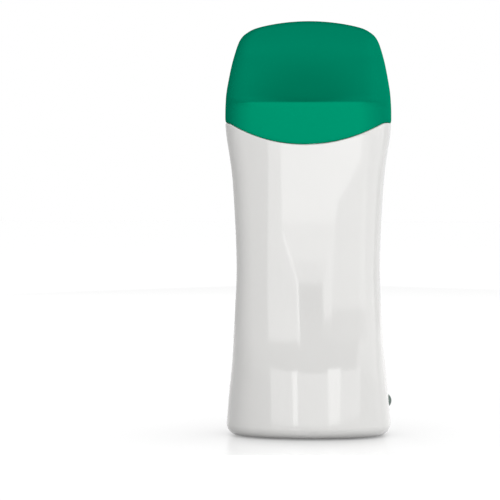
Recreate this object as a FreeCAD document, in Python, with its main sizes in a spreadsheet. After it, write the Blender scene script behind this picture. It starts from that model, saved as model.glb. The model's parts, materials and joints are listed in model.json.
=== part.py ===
# Roll on wax heater: a hand-sized upright housing that melts a wax cartridge, with a pull-off lid.
# Frame: +Z up, the button on +X, the front towards -Y, origin under the centre on the resting surface.
import FreeCAD, Part
import math
import os
import re
import Sketcher

Vector = FreeCAD.Vector
UP = Vector(0, 0, 1)

# Driving dimensions in millimetres.
DIMENSIONS = {
    "height": 170.5,
    "shell_wall": 2.0,
    "lid_wall": 1.8,
    "bottom_radius": 3.2,
    "parting_gap": 0.15,
    # seam between shells and lid: a hanging arc that runs out level at both sides
    "seam_low": 119.55,
    "seam_radius": 62.0,
    "seam_reach": 30.8,
    "seam_tail_radius": 6.0,
    "seam_gap": 0.3,
    # domed top of the lid
    "dome_radius": 85.0,
    "dome_edge": 2.4,
    # ribs inside the lid that rest on the deck
    "rib_x": 29.2,
    "rib_reach": 3.4,
    "rib_width": 1.2,
    "rib_height": 5.0,
    "rib_y": 8.0,
    # raised neck inside the lid
    "neck_play": 0.8,
    "neck_wall": 1.6,
    "neck_foot": 112.5,
    "neck_ring_top": 118.5,
    "ring_play": 0.1,
    "shelf_thickness": 1.5,
    "shelf_width": 1.6,
    "deck_top": 131.0,
    "deck_thickness": 2.0,
    # cartridge well
    "well_wall": 1.0,
    "well_floor": 20.0,
    "flange_thickness": 1.0,
    "flange_lap": 2.4,
    "window_width": 42.0,
    "window_low": 44.0,
    "window_high": 98.0,
    "window_play": 0.2,
    # heating stack behind the well
    "plate_margin": 3.0,
    "element_width": 21.0,
    "element_length": 35.0,
    "element_thickness": 3.0,
    "element_low": 54.0,
    "pad_thickness": 0.8,
    "clip_thickness": 0.8,
    "clip_height": 8.0,
    "clip_reach": 20.0,
    "clip_slack": 2.0,
    "clip_screw_x": 18.0,
    "clip_screw_length": 2.6,
    "thermostat_width": 20.0,
    "thermostat_depth": 3.4,
    "thermostat_height": 7.5,
    "thermostat_low": 43.5,
    "thermostat_round": 0.8,
    "fuse_radius": 1.2,
    "fuse_length": 11.0,
    "fuse_height": 95.0,
    # screws
    "screw_radius": 1.2,
    "screw_head_radius": 2.3,
    "screw_head": 1.5,
    "screw_play": 0.3,
    "boss_radius": 3.2,
    "upper_screw_x": 16.0,
    "upper_screw_z": 107.5,
    "upper_boss_end": 21.5,
    "upper_seat": 22.8,
    "upper_screw_tip": 18.0,
    "lower_screw_x": 15.5,
    "lower_screw_z": 10.2,
    "lower_seat": 5.0,
    "lower_screw_tip": -5.0,
    "small_screw_radius": 0.9,
    "small_head_radius": 1.7,
    "small_head": 1.1,
    "small_screw_play": 0.1,
    # circuit board, upright beside the inlet
    "board_x": 23.6,
    "board_thickness": 1.6,
    "board_front": -7.0,
    "board_back": 16.6,
    "board_low": 4.4,
    "board_high": 18.0,
    "lug_thickness": 2.0,
    "lug_width": 5.0,
    "lug_height": 11.4,
    "lug_front": -4.0,
    "lug_back": 13.4,
    "lug_screw_z": 10.0,
    "component_z": 5.6,
    "capacitor_y": 2.0,
    "capacitor_size": 6.0,
    "capacitor_depth": 4.2,
    "resistor_y": 8.2,
    "resistor_pitch": 2.1,
    "resistor_radius": 0.9,
    "resistor_length": 3.4,
    "led_size": 1.8,
    "led_gap": 0.8,
    "small_bevel": 0.3,
    # power button on the right
    "button_y": 5.0,
    "button_z": 13.7,
    "button_radius": 2.75,
    "button_tip": 34.2,
    "button_dome": 3.4,
    "button_clearance": 0.3,
    "button_flange_x": 29.2,
    "button_flange": 1.0,
    "button_flange_radius": 3.8,
    "switch_size": 6.0,
    "switch_depth": 3.2,
    "plunger_radius": 1.7,
    "plunger_length": 1.5,
    # mains inlet low at the back
    "inlet_z": 11.5,
    "inlet_pitch": 8.6,
    "inlet_lobe": 3.9,
    "inlet_rim": 0.9,
    "inlet_gap": 0.2,
    "inlet_body_width": 19.0,
    "inlet_body_height": 12.4,
    "inlet_body_front": 12.6,
    "inlet_body_back": 25.0,
    "inlet_face": 27.2,
    "inlet_floor": 16.0,
    "pin_radius": 1.2,
    "pin_tip": 25.6,
    "pin_tail": 10.6,
    "pin_bevel": 0.5,
    # base cover and feet
    "cover_inset": 7.0,
    "cover_lap": 2.0,
    "cover_gap": 0.2,
    "foot_radius": 4.0,
    "foot_sink": 1.0,
    "foot_x": 17.0,
    "foot_y": 12.5,
    "foot_bevel": 0.4,
    "rim_thickness": 1.2,
    # wires
    "lead_radius": 0.8,
    # how far tool blocks reach past the object
    "beyond": 60.0,
}

# Plan sections of the housing, from foot to crease. Each is a crowned rounded rectangle:
# height, half width, half depth, corner radius, front crown radius, side crown radius.
BODY_STATIONS = {
    "foot": (0.6, 34.25, 28.5, 22.0, 45.0, 60.0),
    "calf": (20.0, 32.45, 28.4, 20.0, 48.0, 70.0),
    "band": (31.0, 31.3, 27.95, 18.0, 52.0, 80.0),
    "calm": (46.0, 30.25, 26.6, 14.0, 57.0, 150.0),
    "waist": (66.0, 29.4, 26.0, 12.0, 60.0, 200.0),
    "chest": (92.0, 30.25, 26.5, 12.0, 60.0, 200.0),
    "neck": (113.0, 32.1, 27.1, 12.5, 60.0, 200.0),
    "seam": (127.0, 34.0, 27.6, 13.0, 60.0, 200.0),
    "crease": (136.7, 33.85, 27.5, 13.0, 60.0, 200.0),
}

# Plan sections of the lid above the crease. The front and rear faces lean inwards, and near the
# crease they are almost flat, which leaves a shallow dish for the thumb.
LID_STATIONS = {
    "ledge": (136.7, 33.8, 26.2, 12.5, 105.0, 190.0),
    "dish": (141.0, 33.35, 22.9, 11.5, 260.0, 180.0),
    "grip": (147.0, 32.5, 19.9, 10.5, 400.0, 160.0),
    "lean": (154.0, 31.1, 17.0, 9.5, 170.0, 140.0),
    "brow": (160.0, 29.55, 14.3, 8.0, 130.0, 120.0),
    "crown": (165.0, 26.9, 11.4, 6.5, 120.0, 100.0),
    "peak": (171.0, 18.0, 7.2, 3.5, 110.0, 80.0),
}

# The well is a tapered rectangular tube. Height, half width, half depth and corner radius of its inside.
WELL_STATIONS = {
    "well_low": (20.0, 25.4, 15.4, 4.0),
    "well_high": (132.0, 26.4, 15.9, 4.0),
}

STATION_PARTS = ("height", "half_width", "half_depth", "corner", "front_crown", "side_crown")

# Wire routes: points of the centre line.
LIVE_ROUTE = ((-4.3, 10.6, 11.5), (-4.3, 4.5, 11.5), (3.0, 0.5, 15.9), (23.6, 0.5, 15.9))
NEUTRAL_ROUTE = ((4.3, 10.6, 11.5), (4.3, 6.6, 11.5), (9.0, 4.0, 15.9), (23.6, 4.0, 15.9))
THERMOSTAT_ROUTE = ((23.6, 8.6, 16.4), (19.8, 8.6, 16.4), (16.4, 18.6, 16.6), (13.0, 20.2, 28.0),
                    (13.0, 19.6, 47.2), (10.0, 19.6, 47.2))
FUSE_ROUTE = ((23.6, 11.8, 16.4), (21.4, 11.8, 16.4), (19.8, 19.4, 16.8), (16.0, 20.6, 30.0),
              (14.4, 20.2, 62.0), (14.4, 19.1, 95.0), (5.5, 19.1, 95.0))

# Points nearer than this to a face lie on it.
TOUCH = 0.02

# A run of a wire gives up this share of the shorter neighbour to each bend.
BEND_SHARE = 0.45

doc = FreeCAD.newDocument("RollOnWaxHeater")
sheet = doc.addObject("Spreadsheet::Sheet", "Dims")
nodes = []


def fill_sheet():
    values = dict(DIMENSIONS)
    for stations in (BODY_STATIONS, LID_STATIONS, WELL_STATIONS):
        for station, sizes in stations.items():
            for part, size in zip(STATION_PARTS, sizes):
                values[f"{station}_{part}"] = size
    for row, (alias, value) in enumerate(values.items(), start=1):
        sheet.set(f"A{row}", alias)
        sheet.set(f"B{row}", str(value))
        sheet.setAlias(f"B{row}", alias)
    doc.recompute()
    return values


VALUES = fill_sheet()


def dim(alias):
    return VALUES[alias]


def bound(text):
    """An expression on the sheet: every word in it is an alias."""
    return re.sub(r"[a-z]\w*", r"Dims.\g<0>", str(text))


def bind(item, **expressions):
    for name, text in expressions.items():
        item.setExpression(name, bound(text))


def bind_base(item, place):
    for axis, text in zip("xyz", place):
        item.setExpression(f"Placement.Base.{axis}", bound(text))


def box(name, corner, sizes):
    item = doc.addObject("Part::Box", name)
    bind(item, Length=sizes[0], Width=sizes[1], Height=sizes[2])
    bind_base(item, corner)
    return item


def cylinder(name, base, direction, radius, length):
    item = doc.addObject("Part::Cylinder", name)
    bind(item, Radius=radius, Height=length)
    item.Placement = FreeCAD.Placement(Vector(), FreeCAD.Rotation(UP, Vector(direction)))
    bind_base(item, base)
    return item


def fuse(name, *parts):
    item = doc.addObject("Part::MultiFuse", name)
    item.Shapes = list(parts)
    return item


def cut(name, base, *tools):
    item = doc.addObject("Part::Cut", name)
    item.Base = base
    item.Tool = tools[0] if len(tools) == 1 else fuse(name + "_tools", *tools)
    return item


def common(name, first, second):
    item = doc.addObject("Part::Common", name)
    item.Base = first
    item.Tool = second
    return item


def worked_edges(kind, name, base, size, keep):
    """Fillet or chamfer the edges of base that pass keep(middle point, edge)."""
    doc.recompute()
    item = doc.addObject(kind, name)
    item.Base = base
    picked = [i for i, edge in enumerate(base.Shape.Edges, start=1) if keep(middle(edge), edge)]
    item.Edges = [(i, size, size) for i in picked]
    return item


def rounded(name, base, radius, keep):
    return worked_edges("Part::Fillet", name, base, radius, keep)


def bevelled(name, base, size, keep):
    return worked_edges("Part::Chamfer", name, base, size, keep)


def middle(edge):
    return edge.valueAt((edge.FirstParameter + edge.LastParameter) / 2)


def is_circle(point, edge):
    return len(edge.Vertexes) == 1


def is_upright(point, edge):
    return abs(edge.tangentAt(edge.FirstParameter).z) > 1 - TOUCH


def node(name, item):
    item.Label = name
    nodes.append(item)
    return item


def origin_plane(body, role):
    return next(plane for plane in body.Origin.OriginFeatures if plane.Role == role)


def quarter_section(body, station, inset):
    """A quarter of a crowned rounded rectangle, set in by an inset: side crown, corner, front crown."""
    sketch = body.newObject("Sketcher::SketchObject", f"{body.Name}_{station}")
    sketch.AttachmentSupport = (origin_plane(body, "XY_Plane"), [""])
    sketch.MapMode = "FlatFace"
    sketch.setExpression("AttachmentOffset.Base.z", bound(f"{station}_height"))
    offset = eval_inset(inset)
    width, depth, corner, front, side = (dim(f"{station}_{part}") - offset for part in STATION_PARTS[1:])
    side_centre = Vector(width - side, 0, 0)
    front_centre = Vector(0, depth - front, 0)
    span = front_centre - side_centre
    along = (span.Length ** 2 + (side - corner) ** 2 - (front - corner) ** 2) / (2 * span.Length)
    across = math.sqrt((side - corner) ** 2 - along ** 2)
    unit = span / span.Length
    corner_centre = side_centre + unit * along + Vector(-unit.y, unit.x, 0) * across
    to_side = corner_centre - side_centre
    to_front = corner_centre - front_centre
    side_turn = math.atan2(to_side.y, to_side.x)
    front_turn = math.atan2(to_front.y, to_front.x)
    sketch.addGeometry([
        Part.ArcOfCircle(Part.Circle(side_centre, UP, side), 0, side_turn),
        Part.ArcOfCircle(Part.Circle(corner_centre, UP, corner), side_turn, front_turn),
        Part.ArcOfCircle(Part.Circle(front_centre, UP, front), front_turn, math.pi / 2),
        Part.LineSegment(Vector(0, depth, 0), Vector()),
        Part.LineSegment(Vector(), Vector(width, 0, 0)),
    ], False)
    constraint = Sketcher.Constraint
    sketch.addConstraint([
        constraint("Tangent", 0, 2, 1, 1),
        constraint("Tangent", 1, 2, 2, 1),
        constraint("Coincident", 2, 2, 3, 1),
        constraint("Coincident", 3, 2, 4, 1),
        constraint("Coincident", 4, 2, 0, 1),
        constraint("Coincident", 3, 2, -1, 1),
        constraint("PointOnObject", 0, 3, -1),
        constraint("PointOnObject", 2, 3, -2),
        constraint("Vertical", 3),
        constraint("Horizontal", 4),
    ])
    sizes = (
        ("half_width", constraint("DistanceX", 4, 1, 4, 2, width)),
        ("half_depth", constraint("DistanceY", 3, 2, 3, 1, depth)),
        ("corner", constraint("Radius", 1, corner)),
        ("front_crown", constraint("Radius", 2, front)),
        ("side_crown", constraint("Radius", 0, side)),
    )
    for part, rule in sizes:
        index = sketch.addConstraint(rule)
        sketch.renameConstraint(index, part)
        sketch.setExpression(f"Constraints.{part}", bound(f"{station}_{part} - ({inset})"))
    return sketch


def rounded_rectangle(body, station, inset):
    """A rectangle with round corners, centred on the origin and set in by an inset."""
    sketch = body.newObject("Sketcher::SketchObject", f"{body.Name}_{station}")
    sketch.AttachmentSupport = (origin_plane(body, "XY_Plane"), [""])
    sketch.MapMode = "FlatFace"
    sketch.setExpression("AttachmentOffset.Base.z", bound(f"{station}_height"))
    offset = eval_inset(inset)
    width, depth, corner = (dim(f"{station}_{part}") - offset for part in STATION_PARTS[1:4])
    across = width - corner
    along = depth - corner
    quarter = math.pi / 2
    for index, (x, y) in enumerate(((across, along), (-across, along), (-across, -along), (across, -along))):
        start = index * quarter
        circle = Part.Circle(Vector(x, y, 0), UP, corner)
        sketch.addGeometry(Part.ArcOfCircle(circle, start, start + quarter), False)
    sketch.addGeometry([
        Part.LineSegment(Vector(across, depth, 0), Vector(-across, depth, 0)),
        Part.LineSegment(Vector(-width, along, 0), Vector(-width, -along, 0)),
        Part.LineSegment(Vector(-across, -depth, 0), Vector(across, -depth, 0)),
        Part.LineSegment(Vector(width, -along, 0), Vector(width, along, 0)),
    ], False)
    constraint = Sketcher.Constraint
    for index in range(4):
        sketch.addConstraint([
            constraint("Tangent", index, 2, index + 4, 1),
            constraint("Tangent", index + 4, 2, (index + 1) % 4, 1),
            constraint("Vertical" if index % 2 else "Horizontal", index + 4),
        ])
    sketch.addConstraint([
        constraint("Equal", 0, 1),
        constraint("Equal", 1, 2),
        constraint("Equal", 2, 3),
        constraint("Symmetric", 0, 3, 2, 3, -1, 1),
    ])
    sizes = (
        ("corner", constraint("Radius", 0, corner), f"{station}_corner - ({inset})"),
        ("width", constraint("DistanceX", 5, 1, 7, 2, 2 * width), f"2 * ({station}_half_width - ({inset}))"),
        ("depth", constraint("DistanceY", 6, 1, 4, 1, 2 * depth), f"2 * ({station}_half_depth - ({inset}))"),
    )
    for part, rule, text in sizes:
        index = sketch.addConstraint(rule)
        sketch.renameConstraint(index, part)
        sketch.setExpression(f"Constraints.{part}", bound(text))
    return sketch


def tapered(name, stations, inset="0"):
    """A tapered rectangular solid."""
    body = doc.addObject("PartDesign::Body", name)
    sections = [rounded_rectangle(body, station, inset) for station in stations]
    loft = body.newObject("PartDesign::AdditiveLoft", name + "_loft")
    loft.Profile = sections[-1]
    loft.Sections = [(section, [""]) for section in reversed(sections[:-1])]
    doc.recompute()
    return body


def rectangular_plate(name, station, inset, low, thickness):
    """A plate with the outline of a tapered solid's section."""
    body = doc.addObject("PartDesign::Body", name)
    sketch = rounded_rectangle(body, station, inset)
    sketch.setExpression("AttachmentOffset.Base.z", bound(low))
    pad = body.newObject("PartDesign::Pad", name + "_pad")
    pad.Profile = sketch
    pad.setExpression("Length", bound(thickness))
    doc.recompute()
    return body


def eval_inset(inset):
    """The value of a sum of aliases, such as shell_wall + neck_play."""
    total = 0.0
    for sign, word in re.findall(r"([+-]?)\s*([a-z]\w*|[\d.]+)", str(inset)):
        value = dim(word) if word[0].isalpha() else float(word)
        total += -value if sign == "-" else value
    return total


def mirrored_whole(name, quarter):
    """A quarter solid fused with its mirror images across the YZ and XZ planes."""
    half = quarter
    for side, normal in (("side", Vector(1, 0, 0)), ("end", Vector(0, 1, 0))):
        image = doc.addObject("Part::Mirroring", f"{name}_{side}_image")
        image.Source = half
        image.Normal = normal
        half = fuse(f"{name}_{side}" if side == "side" else name, half, image)
    return half


def lofted(name, stations, inset="0"):
    """A solid of the plan sections at these stations, all set in by the inset."""
    body = doc.addObject("PartDesign::Body", name + "_quarter")
    sections = [quarter_section(body, station, inset) for station in stations]
    loft = body.newObject("PartDesign::AdditiveLoft", name + "_loft")
    loft.Profile = sections[0]
    loft.Sections = [(section, [""]) for section in sections[1:]]
    return mirrored_whole(name, body)


def padded(name, station, inset, low, thickness):
    """A plate of one plan section."""
    body = doc.addObject("PartDesign::Body", name + "_quarter")
    sketch = quarter_section(body, station, inset)
    sketch.setExpression("AttachmentOffset.Base.z", bound(low))
    pad = body.newObject("PartDesign::Pad", name + "_pad")
    pad.Profile = sketch
    pad.setExpression("Length", bound(thickness))
    return mirrored_whole(name, body)


def seam_block(name, lift):
    """Everything below the seam, raised by lift: a hanging arc with two short arcs that level it out."""
    body = doc.addObject("PartDesign::Body", name)
    sketch = body.newObject("Sketcher::SketchObject", name + "_sketch")
    sketch.AttachmentSupport = (origin_plane(body, "XZ_Plane"), [""])
    sketch.MapMode = "FlatFace"
    reach = dim("seam_reach")
    radius = dim("seam_radius")
    tail = dim("seam_tail_radius")
    low = dim("seam_low") + lift
    turn = math.asin(reach / radius)
    rise = radius * (1 - math.cos(turn))
    tail_run = tail * math.sin(turn)
    tail_rise = tail * (1 - math.cos(turn))
    edge = dim("beyond")
    floor = -dim("beyond")
    level = low + rise + tail_rise
    middle_centre = Vector(0, low + radius, 0)
    right_centre = Vector(reach + tail_run, level - tail, 0)
    left_centre = Vector(-reach - tail_run, level - tail, 0)
    quarter = math.pi / 2
    sketch.addGeometry([
        Part.ArcOfCircle(Part.Circle(middle_centre, UP, radius), 3 * quarter - turn, 3 * quarter + turn),
        Part.ArcOfCircle(Part.Circle(right_centre, UP, tail), quarter, quarter + turn),
        Part.LineSegment(Vector(reach + tail_run, level, 0), Vector(edge, level, 0)),
        Part.LineSegment(Vector(edge, level, 0), Vector(edge, floor, 0)),
        Part.LineSegment(Vector(edge, floor, 0), Vector(-edge, floor, 0)),
        Part.LineSegment(Vector(-edge, floor, 0), Vector(-edge, level, 0)),
        Part.LineSegment(Vector(-edge, level, 0), Vector(-reach - tail_run, level, 0)),
        Part.ArcOfCircle(Part.Circle(left_centre, UP, tail), quarter - turn, quarter),
    ], False)
    constraint = Sketcher.Constraint
    sketch.addConstraint([
        constraint("Tangent", 0, 2, 1, 2),
        constraint("Tangent", 1, 1, 2, 1),
        constraint("Coincident", 2, 2, 3, 1),
        constraint("Coincident", 3, 2, 4, 1),
        constraint("Coincident", 4, 2, 5, 1),
        constraint("Coincident", 5, 2, 6, 1),
        constraint("Tangent", 6, 2, 7, 2),
        constraint("Tangent", 7, 1, 0, 1),
        constraint("Horizontal", 2),
        constraint("Vertical", 3),
        constraint("Vertical", 5),
        constraint("Horizontal", 6),
        constraint("Horizontal", 0, 1, 0, 2),
        constraint("PointOnObject", 0, 3, -2),
        constraint("Equal", 1, 7),
        constraint("Symmetric", 4, 1, 4, 2, -2),
        constraint("Distance", 4, 2 * edge),
        constraint("DistanceY", 4, 1, -1, 1, -floor),
    ])
    sizes = (
        ("seam_radius", constraint("Radius", 0, radius), "seam_radius"),
        ("seam_tail", constraint("Radius", 1, tail), "seam_tail_radius"),
        ("seam_reach", constraint("DistanceX", -1, 1, 0, 2, reach), "seam_reach"),
        ("seam_centre", constraint("DistanceY", -1, 1, 0, 3, low + radius),
         f"seam_low + {lift} + seam_radius"),
    )
    for part, rule, text in sizes:
        index = sketch.addConstraint(rule)
        sketch.renameConstraint(index, part)
        sketch.setExpression(f"Constraints.{part}", bound(text))
    pad = body.newObject("PartDesign::Pad", name + "_pad")
    pad.Profile = sketch
    pad.Length = 2 * edge
    pad.Midplane = True
    doc.recompute()
    return body


def between(name, low, high):
    """A block that covers the whole object between two heights."""
    return box(name, ("-beyond", "-beyond", low), ("2 * beyond", "2 * beyond", f"{high} - ({low})"))


def half_space(name, side):
    """The space in front of the parting plane (side -1) or behind it (side 1)."""
    start = "parting_gap / 2" if side > 0 else "-beyond - parting_gap / 2"
    return box(name, ("-beyond", start, 0), ("2 * beyond", "beyond", "height"))


def screw_pillars(name, x_text, z_text, y_low, y_high, radius):
    """A pair of cylinders along Y at +x and -x."""
    items = [cylinder(f"{name}_{side}", (f"{sign}({x_text})", y_low, z_text), (0, 1, 0), radius,
                      f"{y_high} - ({y_low})")
             for side, sign in (("right", ""), ("left", "-"))]
    return fuse(name, *items)


# ---- master forms of the housing ---------------------------------------------------------------

body_names = list(BODY_STATIONS)
neck_names = body_names[body_names.index("chest"):]
lid_names = list(LID_STATIONS)



def on_foot_rim(point, edge):
    """True on the outline of the foot, and false on the seams between its quarters."""
    at_rim = math.hypot(point.x, point.y) > dim("foot_half_depth") - dim("cover_inset")
    return abs(point.z - dim("foot_height")) < TOUCH and at_rim


outer_form = rounded("outer_form", lofted("outer_sharp", body_names), dim("bottom_radius"), on_foot_rim)
inner_form = lofted("inner_form", body_names, "shell_wall")
below_seam = seam_block("below_seam", 0)
below_lid = seam_block("below_lid", dim("seam_gap"))

# ---- shells ------------------------------------------------------------------------------------

# an inner shelf carries the neck collar
room = common("room", inner_form, between("above_floor", "foot_height + shell_wall", "height"))
shelf_space = between("shelf_space", "neck_foot - shelf_thickness", "neck_foot")
shelf_band = common("shelf_band", inner_form, shelf_space)
shelf = cut("shelf", shelf_band, lofted("shelf_bore", neck_names, "shell_wall + shelf_width"))
cavity = cut("cavity", room, shelf)
cover_window = padded("cover_window", "foot", "cover_inset", "foot_height - 1", "shell_wall + 2")
shell_tube = cut("shell_tube", outer_form, cavity, cover_window)
shell_pair = common("shell_pair", shell_tube, below_seam)

# front shell: two long pillars that the lower screws bite into
front_half = common("front_half", shell_pair, half_space("front_space", -1))
front_pillars = common(
    "front_pillars",
    screw_pillars("front_pillar", "lower_screw_x", "lower_screw_z", "-beyond", "-parting_gap / 2",
                  "boss_radius"),
    outer_form)
front_bores = screw_pillars("front_bore", "lower_screw_x", "lower_screw_z", "lower_screw_tip - 1", "1",
                            "screw_radius")
front_solid = fuse("front_solid", front_half, front_pillars)
front_shell = node("front_shell", cut("front_shell", front_solid, front_bores))

# rear shell: screw wells, inlet opening and button hole
rear_half = common("rear_half", shell_pair, half_space("rear_space", 1))
lower_sleeves = common(
    "lower_sleeves",
    screw_pillars("lower_sleeve", "lower_screw_x", "lower_screw_z", "parting_gap / 2", "beyond",
                  "boss_radius + 0.6"),
    outer_form)
upper_sleeves = common(
    "upper_sleeves",
    screw_pillars("upper_sleeve", "upper_screw_x", "upper_screw_z", "upper_boss_end", "beyond",
                  "boss_radius"),
    outer_form)
lower_wells = screw_pillars("lower_well", "lower_screw_x", "lower_screw_z", "lower_seat", "beyond",
                            "screw_head_radius + screw_play")
upper_wells = screw_pillars("upper_well", "upper_screw_x", "upper_screw_z", "upper_seat", "beyond",
                            "screw_head_radius + screw_play")
lower_holes = screw_pillars("lower_hole", "lower_screw_x", "lower_screw_z", "-1", "beyond",
                            "screw_radius + screw_play")
upper_holes = screw_pillars("upper_hole", "upper_screw_x", "upper_screw_z", "upper_boss_end - 1", "beyond",
                            "screw_radius + screw_play")


def figure_eight(name, margin, y_low, y_high):
    """Two round lobes and the bar between them, along Y: the outline of the mains inlet."""
    radius = f"inlet_lobe + {margin}"
    length = f"{y_high} - ({y_low})"
    lobes = [cylinder(f"{name}_lobe_{side}", (f"{sign}inlet_pitch / 2", y_low, "inlet_z"), (0, 1, 0),
                      radius, length)
             for side, sign in (("right", ""), ("left", "-"))]
    bar = box(f"{name}_bar", ("-inlet_pitch / 2", y_low, f"inlet_z - ({radius}) * 0.8"),
              ("inlet_pitch", length, f"({radius}) * 1.6"))
    return fuse(name, bar, *lobes)


inlet_opening = figure_eight("inlet_opening", "inlet_rim + inlet_gap", "inlet_floor", "beyond")
button_hole = cylinder("button_hole", ("board_x", "button_y", "button_z"), (1, 0, 0),
                       "button_radius + button_clearance", "beyond")
rear_solid = fuse("rear_solid", rear_half, lower_sleeves, upper_sleeves)
rear_shell = node("rear_shell", cut("rear_shell", rear_solid, lower_wells, upper_wells, lower_holes,
                                    upper_holes, inlet_opening, button_hole))

# ---- lid ---------------------------------------------------------------------------------------

lid_form = lofted("lid_form", lid_names)
lid_inside = lofted("lid_inside", lid_names, "lid_wall")
dome = cylinder("dome", (0, "-beyond", "height - dome_radius"), (0, 1, 0), "dome_radius", "2 * beyond")
dome_inside = cylinder("dome_inside", (0, "-beyond", "height - dome_radius"), (0, 1, 0),
                       "dome_radius - lid_wall", "2 * beyond")
lid_top = common("lid_top", lid_form, dome)
dome_reach = dim("dome_radius")
dome_centre = Vector(0, 0, dim("height") - dome_reach)


def on_dome(point, edge):
    """True on the outline of the dome, and false on the seams between its quarters."""
    across = Vector(point.x, 0, point.z) - dome_centre
    at_rim = abs(point.y) > 1 or point.z < dim("height") - 1
    return abs(across.Length - dome_reach) < TOUCH and at_rim


lid_rounded = rounded("lid_rounded", lid_top, dim("dome_edge"), on_dome)
lid_band = cut("lid_band", outer_form, below_lid)
lid_solid = fuse("lid_solid", lid_band, lid_rounded)
band_inside = common("band_inside", lofted("band_form", neck_names, "lid_wall"),
                     between("band_space", "chest_height", "crease_height - lid_wall"))
top_inside = common("top_inside", lid_inside, dome_inside)
throat = padded("throat", "ledge", "lid_wall", "crease_height - lid_wall - 2", "lid_wall + 2")
lid_cap = cut("lid_cap", lid_solid, band_inside, top_inside, throat)
rib_places = [(x, y) for x in ("rib_x", "-rib_x - rib_reach") for y in ("rib_y", "-rib_y")]
lid_ribs = [box(f"lid_rib_{i}", (x, f"{y} - rib_width / 2", "deck_top"),
                ("rib_reach", "rib_width", "rib_height"))
            for i, (x, y) in enumerate(rib_places)]
lid = node("lid", fuse("lid", lid_cap, *lid_ribs))

# ---- neck collar and cartridge well ------------------------------------------------------------

neck_inset = "shell_wall + neck_play"
neck_form = lofted("neck_form", neck_names, neck_inset)
ring_form = lofted("ring_form", neck_names, "shell_wall + ring_play")
neck_bore = lofted("neck_bore", neck_names, "shell_wall + neck_play + neck_wall")
neck_outside = common("neck_outside", neck_form, between("neck_space", "neck_foot", "deck_top"))
ring_outside = common("ring_outside", ring_form, between("ring_space", "neck_foot", "neck_ring_top"))
neck_hollow = common("neck_hollow", neck_bore,
                     between("hollow_space", "neck_foot - 1", "deck_top - deck_thickness"))
well_tube = tapered("well_tube", list(WELL_STATIONS), "-well_wall")
well_inside = tapered("well_inside", list(WELL_STATIONS))
neck_solid = fuse("neck_solid", neck_outside, ring_outside)
neck_collar = node("neck_collar", cut("neck_collar", neck_solid, neck_hollow, well_tube))

well_floor = rectangular_plate("well_floor_plate", "well_low", "-well_wall", "well_floor - well_wall",
                               "well_wall")
flange = rectangular_plate("well_flange", "well_high", "-flange_lap", "deck_top", "flange_thickness")
rear_window = box("rear_window", ("-window_width / 2", "well_low_half_depth - well_low_corner", "window_low"),
                  ("window_width", "beyond", "window_high - window_low"))
well_bosses = screw_pillars("well_boss", "upper_screw_x", "upper_screw_z", "well_low_half_depth",
                            "upper_boss_end", "boss_radius")
well_bores = screw_pillars("well_bore", "upper_screw_x", "upper_screw_z", "upper_screw_tip", "beyond",
                           "screw_radius")
well_mouth = common("well_mouth", well_inside, between("mouth_space", "well_floor", "height"))
well_body = cut("well_body", fuse("well_solid", well_tube, well_floor, flange, well_bosses), well_mouth,
                rear_window)
cartridge_well = node("cartridge_well", cut("cartridge_well", well_body, well_bores))

# ---- heating stack -----------------------------------------------------------------------------

plate_face = "well_low_half_depth + 0.4"
plate_back = "well_high_half_depth + well_wall"
stack_face = "well_high_half_depth + well_wall + 1"


def centred(name, width, y_low, depth, z_low, height):
    """A box centred on x = 0."""
    return box(name, (f"-({width}) / 2", y_low, z_low), (width, depth, height))


plate_pad = centred("plate_pad", "window_width - 2 * window_play", plate_face,
                    f"{plate_back} - ({plate_face})", "window_low + window_play",
                    "window_high - window_low - 2 * window_play")
plate_flange = centred("plate_flange", "window_width + 2 * plate_margin", plate_back, "1",
                       "window_low - plate_margin", "window_high - window_low + 2 * plate_margin")
clip_bores = screw_pillars("clip_bore", "clip_screw_x", "element_low + element_length / 2", "0", "beyond",
                           "small_screw_radius + small_screw_play")
heat_plate = node("heat_plate", cut("heat_plate", fuse("plate_solid", plate_pad, plate_flange), clip_bores))
ptc_heater = node("ptc_heater", centred("ptc_heater", "element_width", stack_face, "element_thickness",
                                        "element_low", "element_length"))
pad_face = f"{stack_face} + element_thickness"
insulation_pad = node("insulation_pad", centred("insulation_pad", "element_width + clip_slack", pad_face,
                                                "pad_thickness", "element_low + clip_slack",
                                                "element_length - 2 * clip_slack"))
clip_face = f"{pad_face} + pad_thickness"
clip_low = "element_low + element_length / 2 - clip_height / 2"
clip_inside = "element_width / 2 + clip_slack"
clip_bridge = centred("clip_bridge", "element_width + 2 * clip_slack", clip_face, "clip_thickness", clip_low,
                      "clip_height")
clip_legs = [box(f"clip_leg_{side}", (place, stack_face, clip_low),
                 ("clip_thickness", f"{clip_face} - ({stack_face}) + clip_thickness", "clip_height"))
             for side, place in (("right", f"{clip_inside} - clip_thickness"), ("left", f"-({clip_inside})"))]
clip_feet = [box(f"clip_foot_{side}", (place, stack_face, clip_low),
                 (f"clip_reach - ({clip_inside})", "clip_thickness", "clip_height"))
             for side, place in (("right", clip_inside), ("left", "-clip_reach"))]
clip_solid = fuse("clip_solid", clip_bridge, *clip_legs, *clip_feet)
ptc_clip = node("ptc_clip", cut("ptc_clip", clip_solid, clip_bores))


def screw(name, seat, direction, radius, head_radius, head, length):
    """A pan head screw: its head stands on the seat, its shank runs back along the direction."""
    axis = Vector(direction)
    shank_base = [f"{place} - ({length}) * {int(step)}" for place, step in zip(seat, axis)]
    shank = cylinder(name + "_shank", shank_base, direction, radius, length)
    cap = cylinder(name + "_head", seat, direction, head_radius, head)
    return fuse(name, shank, cap)


def screw_pair(name, x_text, z_text, seat, radius, head_radius, head, length):
    return fuse(name, *[screw(f"{name}_{side}", (f"{sign}({x_text})", seat, z_text), (0, 1, 0), radius,
                              head_radius, head, length) for side, sign in (("right", ""), ("left", "-"))])


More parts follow.
